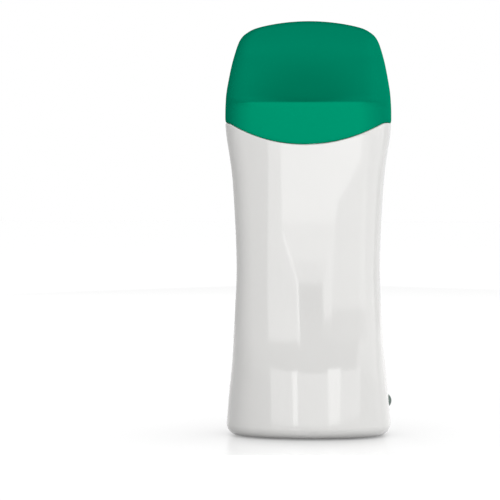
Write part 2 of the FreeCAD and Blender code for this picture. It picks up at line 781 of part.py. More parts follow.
clip_screws = node("clip_screws", screw_pair(
    "clip_screws", "clip_screw_x", "element_low + element_length / 2", f"{stack_face} + clip_thickness",
    "small_screw_radius", "small_head_radius", "small_head", "clip_screw_length"))
thermostat_body = centred("thermostat_body", "thermostat_width", stack_face, "thermostat_depth",
                          "thermostat_low", "thermostat_height")
thermostat = node("thermostat", rounded("thermostat", thermostat_body, dim("thermostat_round"), is_upright))
fuse_body = cylinder("fuse_body", ("-fuse_length / 2", f"{stack_face} + fuse_radius", "fuse_height"),
                     (1, 0, 0), "fuse_radius", "fuse_length")
thermal_fuse = node("thermal_fuse", bevelled("thermal_fuse", fuse_body, dim("small_bevel"), is_circle))

# ---- base cover and feet -----------------------------------------------------------------------

cover_plug = padded("cover_plug", "foot", "cover_inset + cover_gap", "foot_height + cover_gap",
                    "shell_wall - cover_gap")
cover_rim = padded("cover_rim", "foot", "cover_inset - cover_lap", "foot_height + shell_wall",
                   "rim_thickness")
foot_places = [(x, y) for x in ("foot_x", "-foot_x") for y in ("foot_y", "-foot_y")]
foot_pockets = fuse("foot_pockets", *[
    cylinder(f"foot_pocket_{i}", (x, y, 0), (0, 0, 1), "foot_radius", "foot_height + cover_gap + foot_sink")
    for i, (x, y) in enumerate(foot_places)])
lugs = [box(f"lug_{i}", ("board_x - lug_thickness", f"{y} - lug_width / 2", "foot_height + shell_wall"),
            ("lug_thickness", "lug_width", "lug_height")) for i, y in enumerate(("lug_front", "lug_back"))]
lug_bores = [cylinder(f"lug_bore_{i}", ("board_x - 2 * lug_thickness", y, "lug_screw_z"), (1, 0, 0),
                      "small_screw_radius", "4 * lug_thickness")
             for i, y in enumerate(("lug_front", "lug_back"))]
cover_solid = fuse("cover_solid", cover_plug, cover_rim, *lugs)
base_cover = node("base_cover", cut("base_cover", cover_solid, foot_pockets, *lug_bores))
feet = [bevelled(f"foot_{i}", cylinder(f"foot_disc_{i}", (x, y, 0), (0, 0, 1), "foot_radius",
                                       "foot_height + cover_gap + foot_sink"), dim("foot_bevel"),
                 lambda point, edge: point.z < TOUCH and is_circle(point, edge))
        for i, (x, y) in enumerate(foot_places)]
rubber_feet = node("rubber_feet", fuse("rubber_feet", *feet))

# ---- circuit board -----------------------------------------------------------------------------

board_plate = box("board_plate", ("board_x", "board_front", "board_low"),
                  ("board_thickness", "board_back - board_front", "board_high - board_low"))
board_bores = [cylinder(f"board_bore_{i}", ("board_x - board_thickness", y, "lug_screw_z"), (1, 0, 0),
                        "small_screw_radius + small_screw_play", "3 * board_thickness")
               for i, y in enumerate(("lug_front", "lug_back"))]
circuit_board = node("circuit_board", cut("circuit_board", board_plate, *board_bores))
board_face = "board_x + board_thickness"
board_screws = node("board_screws", fuse("board_screws", *[
    screw(f"board_screw_{i}", (board_face, y, "lug_screw_z"), (1, 0, 0), "small_screw_radius",
          "small_head_radius", "small_head", "board_thickness + lug_thickness")
    for i, y in enumerate(("lug_front", "lug_back"))]))
capacitor_block = box("capacitor_block", ("board_x - capacitor_depth", "capacitor_y", "component_z"),
                      ("capacitor_depth", "capacitor_size", "capacitor_size"))
board_capacitor = node("board_capacitor", bevelled(
    "board_capacitor", capacitor_block, dim("small_bevel"),
    lambda point, edge: point.x < dim("board_x") - TOUCH))


def resistor(name, y):
    """A small round resistor that stands on end against the board."""
    rod = cylinder(name + "_rod", (f"{board_face} + resistor_radius", y, "component_z"), (0, 0, 1),
                   "resistor_radius", "resistor_length")
    return bevelled(name, rod, dim("small_bevel"), is_circle)


board_resistors = node("board_resistors", fuse(
    "board_resistors", resistor("resistor_front", "resistor_y"),
    resistor("resistor_rear", "resistor_y + resistor_pitch")))
led_block = box("led_block", (board_face, "button_y + switch_size / 2 + led_gap", "button_z - led_size / 2"),
                ("led_size", "led_size", "led_size"))
status_led = node("status_led", bevelled(
    "status_led", led_block, dim("small_bevel"),
    lambda point, edge: point.x > dim("board_x") + dim("board_thickness") + dim("led_size") - TOUCH))

# ---- power button ------------------------------------------------------------------------------

switch_block = box("switch_block", (board_face, "button_y - switch_size / 2", "button_z - switch_size / 2"),
                   ("switch_depth", "switch_size", "switch_size"))
switch_well = cylinder("switch_well", (f"{board_face} + switch_depth / 2", "button_y", "button_z"), (1, 0, 0),
                       "plunger_radius + button_clearance", "switch_depth")
switch_body = node("switch_body", cut("switch_body", switch_block, switch_well))
switch_plunger = node("switch_plunger", cylinder(
    "switch_plunger", ("button_flange_x - plunger_length", "button_y", "button_z"), (1, 0, 0),
    "plunger_radius", "plunger_length"))
button_stem = cylinder("button_stem", ("button_flange_x", "button_y", "button_z"), (1, 0, 0), "button_radius",
                       "button_tip - button_flange_x")
button_ball = doc.addObject("Part::Sphere", "button_ball")
bind(button_ball, Radius="button_dome")
bind_base(button_ball, ("button_tip - button_dome", "button_y", "button_z"))
button_tail = cylinder("button_tail", ("button_flange_x", "button_y", "button_z"), (1, 0, 0), "button_radius",
                       "button_tip - button_flange_x - button_dome")
button_top = fuse("button_top", common("button_lens", button_stem, button_ball), button_tail)
button_flange = cylinder("button_flange_disc", ("button_flange_x", "button_y", "button_z"), (1, 0, 0),
                         "button_flange_radius", "button_flange")
power_button = node("power_button", fuse("power_button", button_top, button_flange))

# ---- mains inlet -------------------------------------------------------------------------------

inlet_block = centred("inlet_block", "inlet_body_width", "inlet_body_front",
                      "inlet_body_back - inlet_body_front", "inlet_z - inlet_body_height / 2",
                      "inlet_body_height")
inlet_spigot = figure_eight("inlet_spigot", "inlet_rim", "inlet_floor", "inlet_face")
inlet_recess = figure_eight("inlet_recess", "0", "inlet_floor", "beyond")
pin_bores = screw_pillars("pin_bore", "inlet_pitch / 2", "inlet_z", "pin_tail", "inlet_body_back",
                          "pin_radius")
inlet_solid = fuse("inlet_solid", inlet_block, inlet_spigot)
inlet_socket = node("inlet_socket", cut("inlet_socket", inlet_solid, inlet_recess, pin_bores))
pin_rods = screw_pillars("pin_rods", "inlet_pitch / 2", "inlet_z", "pin_tail", "pin_tip", "pin_radius")
inlet_pins = node("inlet_pins", bevelled("inlet_pins", pin_rods, dim("pin_bevel"), lambda point, edge: (
    point.y > dim("pin_tip") - TOUCH and is_circle(point, edge))))

# ---- shell screws ------------------------------------------------------------------------------

shell_screws = node("shell_screws", fuse(
    "shell_screws",
    screw_pair("lower_screws", "lower_screw_x", "lower_screw_z", "lower_seat", "screw_radius",
               "screw_head_radius", "screw_head", "lower_seat - lower_screw_tip"),
    screw_pair("upper_screws", "upper_screw_x", "upper_screw_z", "upper_seat", "screw_radius",
               "screw_head_radius", "screw_head", "upper_seat - upper_screw_tip")))


# ---- wires -------------------------------------------------------------------------------------

def lead(name, route):
    """A round wire along straight runs that are joined by tangent arcs."""
    points = [Vector(point) for point in route]
    radius = dim("lead_radius")
    edges = []
    start = points[0]
    for before, here, after in zip(points, points[1:], points[2:]):
        back = before - here
        ahead = after - here
        trim = BEND_SHARE * min(back.Length, ahead.Length)
        enter = here + back * (trim / back.Length)
        leave = here + ahead * (trim / ahead.Length)
        bisector = (enter + leave) / 2 - here
        half_turn = math.pi / 2 - back.getAngle(ahead) / 2
        bend = trim / math.tan(half_turn)
        centre_reach = math.hypot(trim, bend)
        mid = here + bisector * ((centre_reach - bend) / bisector.Length)
        edges.append(Part.LineSegment(start, enter).toShape())
        edges.append(Part.Arc(enter, mid, leave).toShape())
        start = leave
    edges.append(Part.LineSegment(start, points[-1]).toShape())
    path = Part.Wire(edges)
    circle = Part.Wire(Part.Circle(points[0], points[1] - points[0], radius).toShape())
    pipe = path.makePipeShell([circle], True, False, 2)
    item = doc.addObject("Part::Feature", name)
    item.Shape = Part.Solid(pipe) if pipe.ShapeType != "Solid" else pipe
    expected = math.pi * radius ** 2 * path.Length
    print(name, "length", round(path.Length, 1), "volume ratio", round(item.Shape.Volume / expected, 4))
    return item


live_lead = node("live_lead", lead("live_lead", LIVE_ROUTE))
neutral_lead = node("neutral_lead", lead("neutral_lead", NEUTRAL_ROUTE))
heater_leads = node("heater_leads", fuse("heater_leads", lead("thermostat_lead", THERMOSTAT_ROUTE),
                                         lead("fuse_lead", FUSE_ROUTE)))

# ---- check and export --------------------------------------------------------------------------

doc.recompute()
for item in doc.Objects:
    if "Invalid" in item.State or "Error" in item.State:
        raise RuntimeError(f"{item.Name} failed: {item.State}")
for item in nodes:
    if item.Shape.isNull() or not item.Shape.isValid() or not item.Shape.Solids:
        raise RuntimeError(f"{item.Label} has no valid solid")
os.makedirs("parts", exist_ok=True)
for item in nodes:
    item.Shape.exportStep(f"parts/{item.Label}.step")
    print(item.Label, "solids", len(item.Shape.Solids), "volume", round(item.Shape.Volume, 1))
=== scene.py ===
import bmesh
import bpy
import json
import math
import numpy as np
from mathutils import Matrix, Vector


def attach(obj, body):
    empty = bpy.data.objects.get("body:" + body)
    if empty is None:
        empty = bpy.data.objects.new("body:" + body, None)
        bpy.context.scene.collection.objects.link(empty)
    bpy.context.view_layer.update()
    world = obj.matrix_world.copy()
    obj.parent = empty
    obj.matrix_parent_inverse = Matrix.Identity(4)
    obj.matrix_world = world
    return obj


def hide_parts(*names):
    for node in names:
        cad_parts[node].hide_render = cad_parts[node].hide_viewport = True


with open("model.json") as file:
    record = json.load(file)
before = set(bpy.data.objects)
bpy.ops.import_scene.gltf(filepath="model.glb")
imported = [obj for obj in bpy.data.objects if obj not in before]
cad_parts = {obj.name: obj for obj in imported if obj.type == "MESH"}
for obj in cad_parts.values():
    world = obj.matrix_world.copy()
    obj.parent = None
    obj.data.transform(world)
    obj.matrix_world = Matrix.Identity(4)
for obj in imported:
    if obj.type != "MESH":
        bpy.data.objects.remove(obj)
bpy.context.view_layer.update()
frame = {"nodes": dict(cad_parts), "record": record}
nodes = frame["nodes"]

MM = 0.001

# ---- the view ----------------------------------------------------------------------------------
IMAGE_SIZE = 500
FOCAL_PIXELS = 2416.0
SENSOR = 36.0
CAMERA_HEIGHT = 0.103
CAMERA_DISTANCE = 1.0
CLIP_START = 0.01
CAMERA_AZIMUTH = math.radians(3.5)
AXIS_PIXEL_X = 308.8
HORIZON_PIXEL_Y = 185.6

# ---- sizes, in mm, within about half a millimetre of the construction ---------------------------
# height, half width, half depth, corner radius, front crown radius, side crown radius
BODY_SECTIONS = np.array((
    (0.6, 34.15, 28.3, 22.0, 45.0, 60.0),
    (20.0, 32.6, 28.2, 20.0, 48.0, 70.0),
    (31.0, 31.5, 27.95, 18.0, 52.0, 80.0),
    (46.0, 30.45, 26.6, 14.0, 57.0, 150.0),
    (66.0, 29.3, 26.0, 12.0, 60.0, 200.0),
    (92.0, 30.1, 26.5, 12.0, 60.0, 200.0),
    (113.0, 31.85, 27.1, 12.5, 60.0, 200.0),
    (127.0, 33.83, 27.6, 13.0, 60.0, 200.0),
    (136.7, 33.88, 27.5, 13.0, 60.0, 200.0),
))
LID_SECTIONS = np.array((
    (136.7, 33.85, 26.2, 12.5, 105.0, 190.0),
    (141.0, 33.5, 22.9, 11.5, 260.0, 180.0),
    (147.0, 32.55, 19.9, 10.5, 400.0, 160.0),
    (154.0, 31.15, 17.0, 9.5, 170.0, 140.0),
    (160.0, 29.45, 14.3, 8.0, 130.0, 120.0),
    (165.0, 26.65, 11.4, 6.5, 120.0, 100.0),
    (171.0, 17.6, 7.2, 3.5, 110.0, 80.0),
))
HEIGHT = 170.5
FOOT_HEIGHT = 0.6
SHELL_WALL = 2.0
LID_WALL = 1.8
COVER_INSET = 7.0
PARTING_GAP = 0.15
SEAM_LOW = 119.55
SEAM_RADIUS = 62.0
SEAM_REACH = 30.8
SEAM_TAIL_RADIUS = 6.0
CREASE_HEIGHT = 136.7
DOME_RADIUS = 85.0

# the rear shell's openings; each is cut from inside the wall to well outside it
BUTTON_X = 23.6
BUTTON_Y = 5.0
BUTTON_Z = 13.7
BUTTON_HOLE = 3.05
BUTTON_CUT = 20.0
INLET_Z = 11.5
INLET_PITCH = 8.6
INLET_HOLE = 5.0
INLET_WAIST = 4.0
INLET_CUT_START = 20.0
INLET_CUT_END = 35.0
WELL_CUT_END = 40.0

# housing screws: x, z, then along y the front end of the sleeve, the head's seat and the tip
SCREW_PLACES = (
    (15.5, 10.2, 0.075, 5.0, -5.0),
    (16.0, 107.5, 21.5, 22.8, 18.0),
)
SCREW_WELLS = [(sign * place[0], *place[1:]) for place in SCREW_PLACES for sign in (1, -1)]
WELL_RADIUS = 2.6
BOSS_RADIUS = 3.2
SCREW_HOLE = 1.5
SCREW_RADIUS = 1.2
HEAD_RADIUS = 2.3
HEAD_HEIGHT = 1.5
HEAD_ROUND = 0.6
CROSS_LENGTH = 2.6
CROSS_WIDTH = 0.6
CROSS_DEPTH = 1.0
CROSS_ABOVE = 1.0

# the lid's inner ribs
RIB_X = 29.2
RIB_REACH = 3.4
RIB_WIDTH = 1.2
RIB_HEIGHT = 5.0
RIB_Y = 8.0
RIB_FOOT = 131.0
RIB_EDGE = 0.25

# ---- moulded edges, in mm ----------------------------------------------------------------------
SKIN_FOOT = 0.3
FOOT_ROUND = 4.8
COVER_RIM = 1.0
FLOOR_BEVEL = 1.0
SHELL_LIP = 0.4
PARTING_EDGE = 0.35
# the share of the parting edge's rounding that is taken off the side
PARTING_SINK = 0.8
LID_EDGE = 0.25
LID_LIP_RISE = 1.5
LID_LIP_SINK = 0.55
LID_GAP = 0.18
LID_SHELF = 0.4
RIM_ROUND = 2.2
# the crease's rounding below and above it, crisp at the front and back and soft at the sides
CREASE_ROUND = 0.25
CREASE_HOLLOW = 0.9
SOFT_ROUND = 2.2
SOFT_HOLLOW = 2.6
# the crease is soft where its step is narrower than the start, and crisp once it is wider by the reach
SOFT_START = 0.1
SOFT_REACH = 2.6
LEAST_STEP = 1e-6
# the most of the step that each rounding takes
ROUND_SHARE = 0.4
HOLLOW_SHARE = 0.5

# ---- fineness of the meshes --------------------------------------------------------------------
QUARTER_STEPS = 64
# where rings run close together beside the parting line, in half rings
PARTING_TURNS = (0.0, 0.0012, 0.0025, 0.004, 0.006, 0.0085)
LAST_TURN = 4 - 1e-9
HEIGHT_ROUNDS = 8
# the heights where the searches for the lid's rim and ceiling start
RIM_START = 164.5
CEILING_START = 162.5
FOOT_STEPS = 16
SHELL_STEPS = 96
LIP_STEPS = 6
LIP_INNER_STEPS = 4
SHELL_INNER_STEPS = 23
LID_LIP_STEPS = 8
BAND_STEPS = 14
LID_STEPS = 56
RIM_STEPS = 10
TOP_STEPS = 24
CEILING_STEPS = 12
LID_INNER_STEPS = 24
BAND_INNER_STEPS = 10
# the share of the dome's plan at its middle that a flat face closes
DOME_MIDDLE = 0.005
CIRCLE_STEPS = 48
HEAD_STEPS = 6
BEVEL_STEPS = 3
REAR_SAMPLES = 200
MERGE_DISTANCE = 1e-7
SMOOTH_ANGLE = math.radians(35.0)


def spline(sections):
    """A natural cubic spline through every column of a table of sections, as a function of height."""
    z = sections[:, 0]
    values = sections[:, 1:]
    count = len(z)
    step = np.diff(z)
    slope = np.diff(values, axis=0) / step[:, None]
    system = np.eye(count)
    right = np.zeros_like(values)
    for i in range(1, count - 1):
        system[i, i - 1:i + 2] = (step[i - 1], 2 * (step[i - 1] + step[i]), step[i])
        right[i] = 6 * (slope[i] - slope[i - 1])
    bend = np.linalg.solve(system, right)

    def at(height):
        height = np.clip(np.asarray(height, dtype=float), z[0], z[-1])
        i = np.clip(np.searchsorted(z, height) - 1, 0, count - 2)
        a = (z[i + 1] - height) / step[i]
        b = 1 - a
        a, b, h = a[..., None], b[..., None], step[i][..., None]
        return (a * values[i] + b * values[i + 1]
                + ((a ** 3 - a) * bend[i] + (b ** 3 - b) * bend[i + 1]) * h ** 2 / 6)
    return at


body_at = spline(BODY_SECTIONS)
lid_at = spline(LID_SECTIONS)


def quarter_point(sizes, part):
    """Points of a crowned rounded rectangle's quarter; part runs from 0 at +X to 1 at +Y."""
    width, depth, corner, front, side = np.moveaxis(sizes, -1, 0)
    side_x = width - side
    front_y = depth - front
    span = np.hypot(side_x, front_y)
    unit_x, unit_y = -side_x / span, front_y / span
    along = (span ** 2 + (side - corner) ** 2 - (front - corner) ** 2) / (2 * span)
    across = np.sqrt((side - corner) ** 2 - along ** 2)
    corner_x = side_x + unit_x * along - unit_y * across
    corner_y = unit_y * along + unit_x * across
    side_turn = np.arctan2(corner_y, corner_x - side_x)
    front_turn = np.arctan2(corner_y - front_y, corner_x)
    side_length = side * side_turn
    corner_length = corner * (front_turn - side_turn)
    front_length = front * (math.pi / 2 - front_turn)
    run = part * (side_length + corner_length + front_length)
    angle_side = run / side
    angle_corner = side_turn + (run - side_length) / corner
    angle_front = front_turn + (run - side_length - corner_length) / front
    on_side = run <= side_length
    on_corner = run <= side_length + corner_length
    x = np.where(on_side, side_x + side * np.cos(angle_side),
                 np.where(on_corner, corner_x + corner * np.cos(angle_corner), front * np.cos(angle_front)))
    y = np.where(on_side, side * np.sin(angle_side),
                 np.where(on_corner, corner_y + corner * np.sin(angle_corner),
                          front_y + front * np.sin(angle_front)))
    return x, y


def plan_point(section_at, height, inset, turn):
    """Points (x, y) of the section at a height, set in by an inset. turn counts quarters from +X to +Y."""
    sizes = section_at(height) - np.asarray(inset, dtype=float)[..., None]
    quadrant = np.floor(turn).astype(int) % 4
    fraction = turn - np.floor(turn)
    part = np.where(quadrant % 2 == 0, fraction, 1 - fraction)
    x, y = quarter_point(sizes, part)
    x = np.where((quadrant == 1) | (quadrant == 2), -x, x)
    y = np.where(quadrant >= 2, -y, y)
    return x, y


def seam(x):
    """The height of the seam above x: a hanging arc that runs out level at both sides."""
    x = np.abs(x)
    turn = math.asin(SEAM_REACH / SEAM_RADIUS)
    tail_run = SEAM_TAIL_RADIUS * math.sin(turn)
    level = SEAM_LOW + SEAM_RADIUS * (1 - math.cos(turn)) + SEAM_TAIL_RADIUS * (1 - math.cos(turn))
    arc = SEAM_LOW + SEAM_RADIUS - np.sqrt(SEAM_RADIUS ** 2 - np.minimum(x, SEAM_REACH) ** 2)
    off = np.clip(SEAM_REACH + tail_run - x, 0, tail_run)
    tail = level - SEAM_TAIL_RADIUS + np.sqrt(SEAM_TAIL_RADIUS ** 2 - off ** 2)
    return np.where(x <= SEAM_REACH, arc, tail)


def dome(x, inset=0.0):
    """The height of the domed top above x, or of its inside."""
    radius = DOME_RADIUS - inset
    return HEIGHT - DOME_RADIUS + np.sqrt(radius ** 2 - x ** 2)


def ring(section_at, height, inset, turns):
    """Points (x, y, z) of the section around the turns; height and inset may change from turn to turn."""
    height = np.broadcast_to(np.asarray(height, dtype=float), turns.shape)
    inset = np.broadcast_to(np.asarray(inset, dtype=float), turns.shape)
    x, y = plan_point(section_at, height, inset, turns)
    return np.stack((x, y, height), axis=-1)


def height_on(section_at, inset, turns, rule, start):
    """The height at which each turn's point meets a rule z = rule(x)."""
    height = np.full(turns.shape, float(start))
    for _ in range(HEIGHT_ROUNDS):
        x, _y = plan_point(section_at, height, np.full(turns.shape, inset), turns)
        height = rule(x)
    return height


def arc_steps(count):
    """count + 1 angles from 0 to a quarter turn."""
    return [math.pi / 2 * i / count for i in range(count + 1)]


def parts(count, start=0.0):
    """count even steps from a start to 1, without the start."""
    return [start + (1 - start) * i / count for i in range(1, count)] + [1.0]


def shade_smooth(item):
    """Smooth shading with sharp edges where faces meet at more than SMOOTH_ANGLE."""
    item.data.polygons.foreach_set("use_smooth", [True] * len(item.data.polygons))
    item.data.set_sharp_from_angle(angle=SMOOTH_ANGLE)


def scene_object(name, data):
    """A new object in the scene."""
    item = bpy.data.objects.new(name, data)
    bpy.context.scene.collection.objects.link(item)
    return item


def mesh_object(name, points, faces):
    """A piece from points in mm, with its faces turned outwards."""
    mesh = bpy.data.meshes.new(name)
    mesh.from_pydata([tuple(float(v) * MM for v in point) for point in points], [], faces)
    work = bmesh.new()
    work.from_mesh(mesh)
    bmesh.ops.remove_doubles(work, verts=work.verts, dist=MERGE_DISTANCE)
    bmesh.ops.recalc_face_normals(work, faces=work.faces)
    work.to_mesh(mesh)
    work.free()
    item = scene_object(name, mesh)
    shade_smooth(item)
    return item


def skin(name, rings, closed_chain, closed_ring):
    """A closed skin over rings of points: end caps close an open chain, and a closed chain of open rings."""
    count = len(rings[0])
    points = np.concatenate(rings)
    faces = []
    chain = len(rings)
    for i in range(chain if closed_chain else chain - 1):
        here, there = i * count, ((i + 1) % chain) * count
        for j in range(count if closed_ring else count - 1):
            k = (j + 1) % count
            faces.append((here + j, here + k, there + k, there + j))
    if closed_chain and not closed_ring:
        faces.append([i * count for i in range(chain)][::-1])
        faces.append([i * count + count - 1 for i in range(chain)])
    if not closed_chain:
        faces.append(list(range(count))[::-1])
        faces.append([(chain - 1) * count + j for j in range(count)])
    return mesh_object(name, points, faces)


# ---- shells ------------------------------------------------------------------------------------

def shell_rings(turns):
    """The chain of rings of one shell: under the foot, up the outside, over the lip and down the inside."""
    chain = [ring(body_at, SKIN_FOOT, inset, turns) for inset in (COVER_INSET, COVER_INSET - COVER_RIM)]
    for angle in arc_steps(FOOT_STEPS):
        chain.append(ring(body_at, SKIN_FOOT + FOOT_ROUND * (1 - math.cos(angle)),
                          FOOT_ROUND * (1 - math.sin(angle)), turns))
    top = height_on(body_at, 0.0, turns, seam, SEAM_LOW) - SHELL_LIP
    low = SKIN_FOOT + FOOT_ROUND
    for part in parts(SHELL_STEPS):
        chain.append(ring(body_at, low + (top - low) * part, 0.0, turns))
    for angle in arc_steps(LIP_STEPS)[1:]:
        chain.append(ring(body_at, top + SHELL_LIP * math.sin(angle),
                          SHELL_LIP * (1 - math.cos(angle)), turns))
    for angle in arc_steps(LIP_INNER_STEPS):
        chain.append(ring(body_at, top + SHELL_LIP * math.cos(angle),
                          SHELL_WALL - SHELL_LIP * (1 - math.sin(angle)), turns))
    floor = FOOT_HEIGHT + SHELL_WALL
    for part in parts(SHELL_INNER_STEPS):
        chain.append(ring(body_at, top + (floor + FLOOR_BEVEL - top) * part, SHELL_WALL, turns))
    chain.append(ring(body_at, floor, SHELL_WALL + FLOOR_BEVEL, turns))
    chain.append(ring(body_at, floor, COVER_INSET, turns))
    return chain


def parted(chain, side):
    """Pull the ends of open rings back from the parting plane, and round the outer edge a little there."""
    result = []
    for points in chain:
        points = points.copy()
        away = np.maximum(side * points[:, 1], 0)
        short = np.maximum(PARTING_EDGE - away, 0)
        sink = PARTING_EDGE - np.sqrt(PARTING_EDGE ** 2 - short ** 2)
        points[:, 1] = side * (away + PARTING_GAP / 2)
        points[:, 0] -= np.sign(points[:, 0]) * sink * PARTING_SINK
        result.append(points)
    return result


def half_turns(side):
    """Turns from one parting line to the other, closer together at both ends."""
    spread = np.linspace(0, 1, QUARTER_STEPS * 2 + 1)
    fine = np.array(PARTING_TURNS)
    spread = np.unique(np.concatenate((spread, fine, 1 - fine)))
    turns = spread * 2 if side > 0 else 2 + spread * 2
    return np.clip(turns, 0, LAST_TURN)


def make_shell(name, side):
    """The skin of one shell: side is -1 for the front and 1 for the rear."""
    chain = parted(shell_rings(half_turns(side)), side)
    return skin(name, chain, closed_chain=True, closed_ring=False)


def circle(centre, axis, radius):
    """Points of a circle about an axis through a centre, in mm."""
    axis = Vector(axis).normalized()
    across = axis.orthogonal().normalized()
    other = axis.cross(across)
    turns = [2 * math.pi * i / CIRCLE_STEPS for i in range(CIRCLE_STEPS)]
    return np.array([tuple(Vector(centre) + across * (radius * math.cos(t)) + other * (radius * math.sin(t)))
                     for t in turns])


def rod_tool(radius, start, axis, length):
    """A closed cylinder used to cut a hole."""
    end = Vector(start) + Vector(axis) * length
    return skin("tool", [circle(start, axis, radius), circle(end, axis, radius)],
                closed_chain=False, closed_ring=True)


def box_mesh(name, low, high, bevel=0.0):
    """A closed box between two corners in mm, with bevelled edges if asked."""
    work = bmesh.new()
    bmesh.ops.create_cube(work, size=1)
    for vertex in work.verts:
        vertex.co = [(low[i] + (high[i] - low[i]) * (vertex.co[i] + 0.5)) * MM for i in range(3)]
    if bevel:
        bmesh.ops.bevel(work, geom=work.edges, offset=bevel * MM, segments=BEVEL_STEPS, profile=0.5,
                        affect="EDGES")
    mesh = bpy.data.meshes.new(name)
    work.to_mesh(mesh)
    work.free()
    item = scene_object(name, mesh)
    shade_smooth(item)
    return item


def apply_modifiers(item):
    """Keep what a piece's modifiers make as its own mesh."""
    bpy.context.view_layer.update()
    graph = bpy.context.evaluated_depsgraph_get()
    mesh = bpy.data.meshes.new_from_object(item.evaluated_get(graph), preserve_all_data_layers=True,
                                           depsgraph=graph)
    item.modifiers.clear()
    item.data = mesh


def cut_with(item, tools):
    """Cut closed tools out of a piece and apply the result."""
    for tool in tools:
        modifier = item.modifiers.new("cut", "BOOLEAN")
        modifier.operation = "DIFFERENCE"
        modifier.solver = "EXACT"
        modifier.object = tool
        apply_modifiers(item)
        bpy.data.objects.remove(tool)
    shade_smooth(item)


def joined(name, items):
    """One piece out of several closed meshes."""
    work = bmesh.new()
    for item in items:
        work.from_mesh(item.data)
        bpy.data.objects.remove(item)
    mesh = bpy.data.meshes.new(name)
    work.to_mesh(mesh)
    work.free()
    piece = scene_object(name, mesh)
    shade_smooth(piece)
    return piece


def rear_face(x, z, inset):
    """How far back the rear shell reaches at x and z, less an inset."""
    turns = np.linspace(0, 1, REAR_SAMPLES)
    plan_x, plan_y = plan_point(body_at, np.full(turns.shape, z), np.full(turns.shape, inset), turns)
    return float(np.interp(abs(x), plan_x[::-1], plan_y[::-1]))


def screw_sleeve(name, x, z, start, seat):
    """The tube that a housing screw is reached through: it ends in the shell's wall."""
    def loop(radius, y=None):
        points = circle((x, 0, z), (0, 1, 0), radius)
        points[:, 1] = [rear_face(px, pz, SHELL_WALL / 2) if y is None else y for px, _y, pz in points]
        return points

    rings = [loop(SCREW_HOLE, start), loop(BOSS_RADIUS, start), loop(BOSS_RADIUS), loop(WELL_RADIUS),
             loop(WELL_RADIUS, seat), loop(SCREW_HOLE, seat)]
    return skin(name, rings, closed_chain=True, closed_ring=True)


def make_rear_shell():
    """The rear shell's skin with its screw wells, button hole and figure-8 inlet opening."""
    shell = make_shell("rear_shell_skin", 1)
    tools = []
    for x, z, _start, seat, _tip in SCREW_WELLS:
        tools.append(rod_tool(WELL_RADIUS, (x, seat, z), (0, 1, 0), WELL_CUT_END - seat))
    tools.append(rod_tool(BUTTON_HOLE, (BUTTON_X, BUTTON_Y, BUTTON_Z), (1, 0, 0), BUTTON_CUT))
    half = INLET_PITCH / 2
    for sign in (1, -1):
        tools.append(rod_tool(INLET_HOLE, (sign * half, INLET_CUT_START, INLET_Z), (0, 1, 0),
                              INLET_CUT_END - INLET_CUT_START))
    tools.append(box_mesh("tool", (-half, INLET_CUT_START, INLET_Z - INLET_WAIST),
                          (half, INLET_CUT_END, INLET_Z + INLET_WAIST)))
    cut_with(shell, tools)
    return shell


def make_sleeves():
    sleeves = []
    for i, (x, z, start, seat, _tip) in enumerate(SCREW_WELLS):
        sleeves.append(screw_sleeve(f"sleeve_{i}", x, z, start, seat))
    return joined("screw_sleeves", sleeves)


def housing_screw(name, x, z, seat, tip):
    """A screw with a rounded head and a cross recess, along y with its head at the back."""
    crown = seat + HEAD_HEIGHT
    outline = [(SCREW_RADIUS, tip), (SCREW_RADIUS, seat), (HEAD_RADIUS, seat)]
    outline += [(HEAD_RADIUS - HEAD_ROUND * (1 - math.cos(angle)), crown - HEAD_ROUND * (1 - math.sin(angle)))
                for angle in arc_steps(HEAD_STEPS)]
    item = skin(name, [circle((x, y, z), (0, 1, 0), radius) for radius, y in outline],
                closed_chain=False, closed_ring=True)
    bars = ((CROSS_LENGTH / 2, CROSS_WIDTH / 2), (CROSS_WIDTH / 2, CROSS_LENGTH / 2))
    cut_with(item, [box_mesh("tool", (x - wide, crown - CROSS_DEPTH, z - tall),
                             (x + wide, crown + CROSS_ABOVE, z + tall)) for wide, tall in bars])
    return item


def make_housing_screws():
    screws = []
    for i, (x, z, _start, seat, tip) in enumerate(SCREW_WELLS):
        screws.append(housing_screw(f"housing_screw_{i}", x, z, seat, tip))
    return joined("housing_screws", screws)


# ---- lid ---------------------------------------------------------------------------------------

def bezier(start, middle, end, part):
    """Points on a quadratic curve that leaves the start and reaches the end towards its middle point."""
    return start * (1 - part) ** 2 + middle * 2 * part * (1 - part) + end * part ** 2


def inward_normal(points):
    """The plan normal of a closed loop, towards its inside."""
    ahead = np.roll(points[:, :2], -1, axis=0) - np.roll(points[:, :2], 1, axis=0)
    normal = np.column_stack((-ahead[:, 1], ahead[:, 0]))
    return normal / np.linalg.norm(normal, axis=1, keepdims=True)


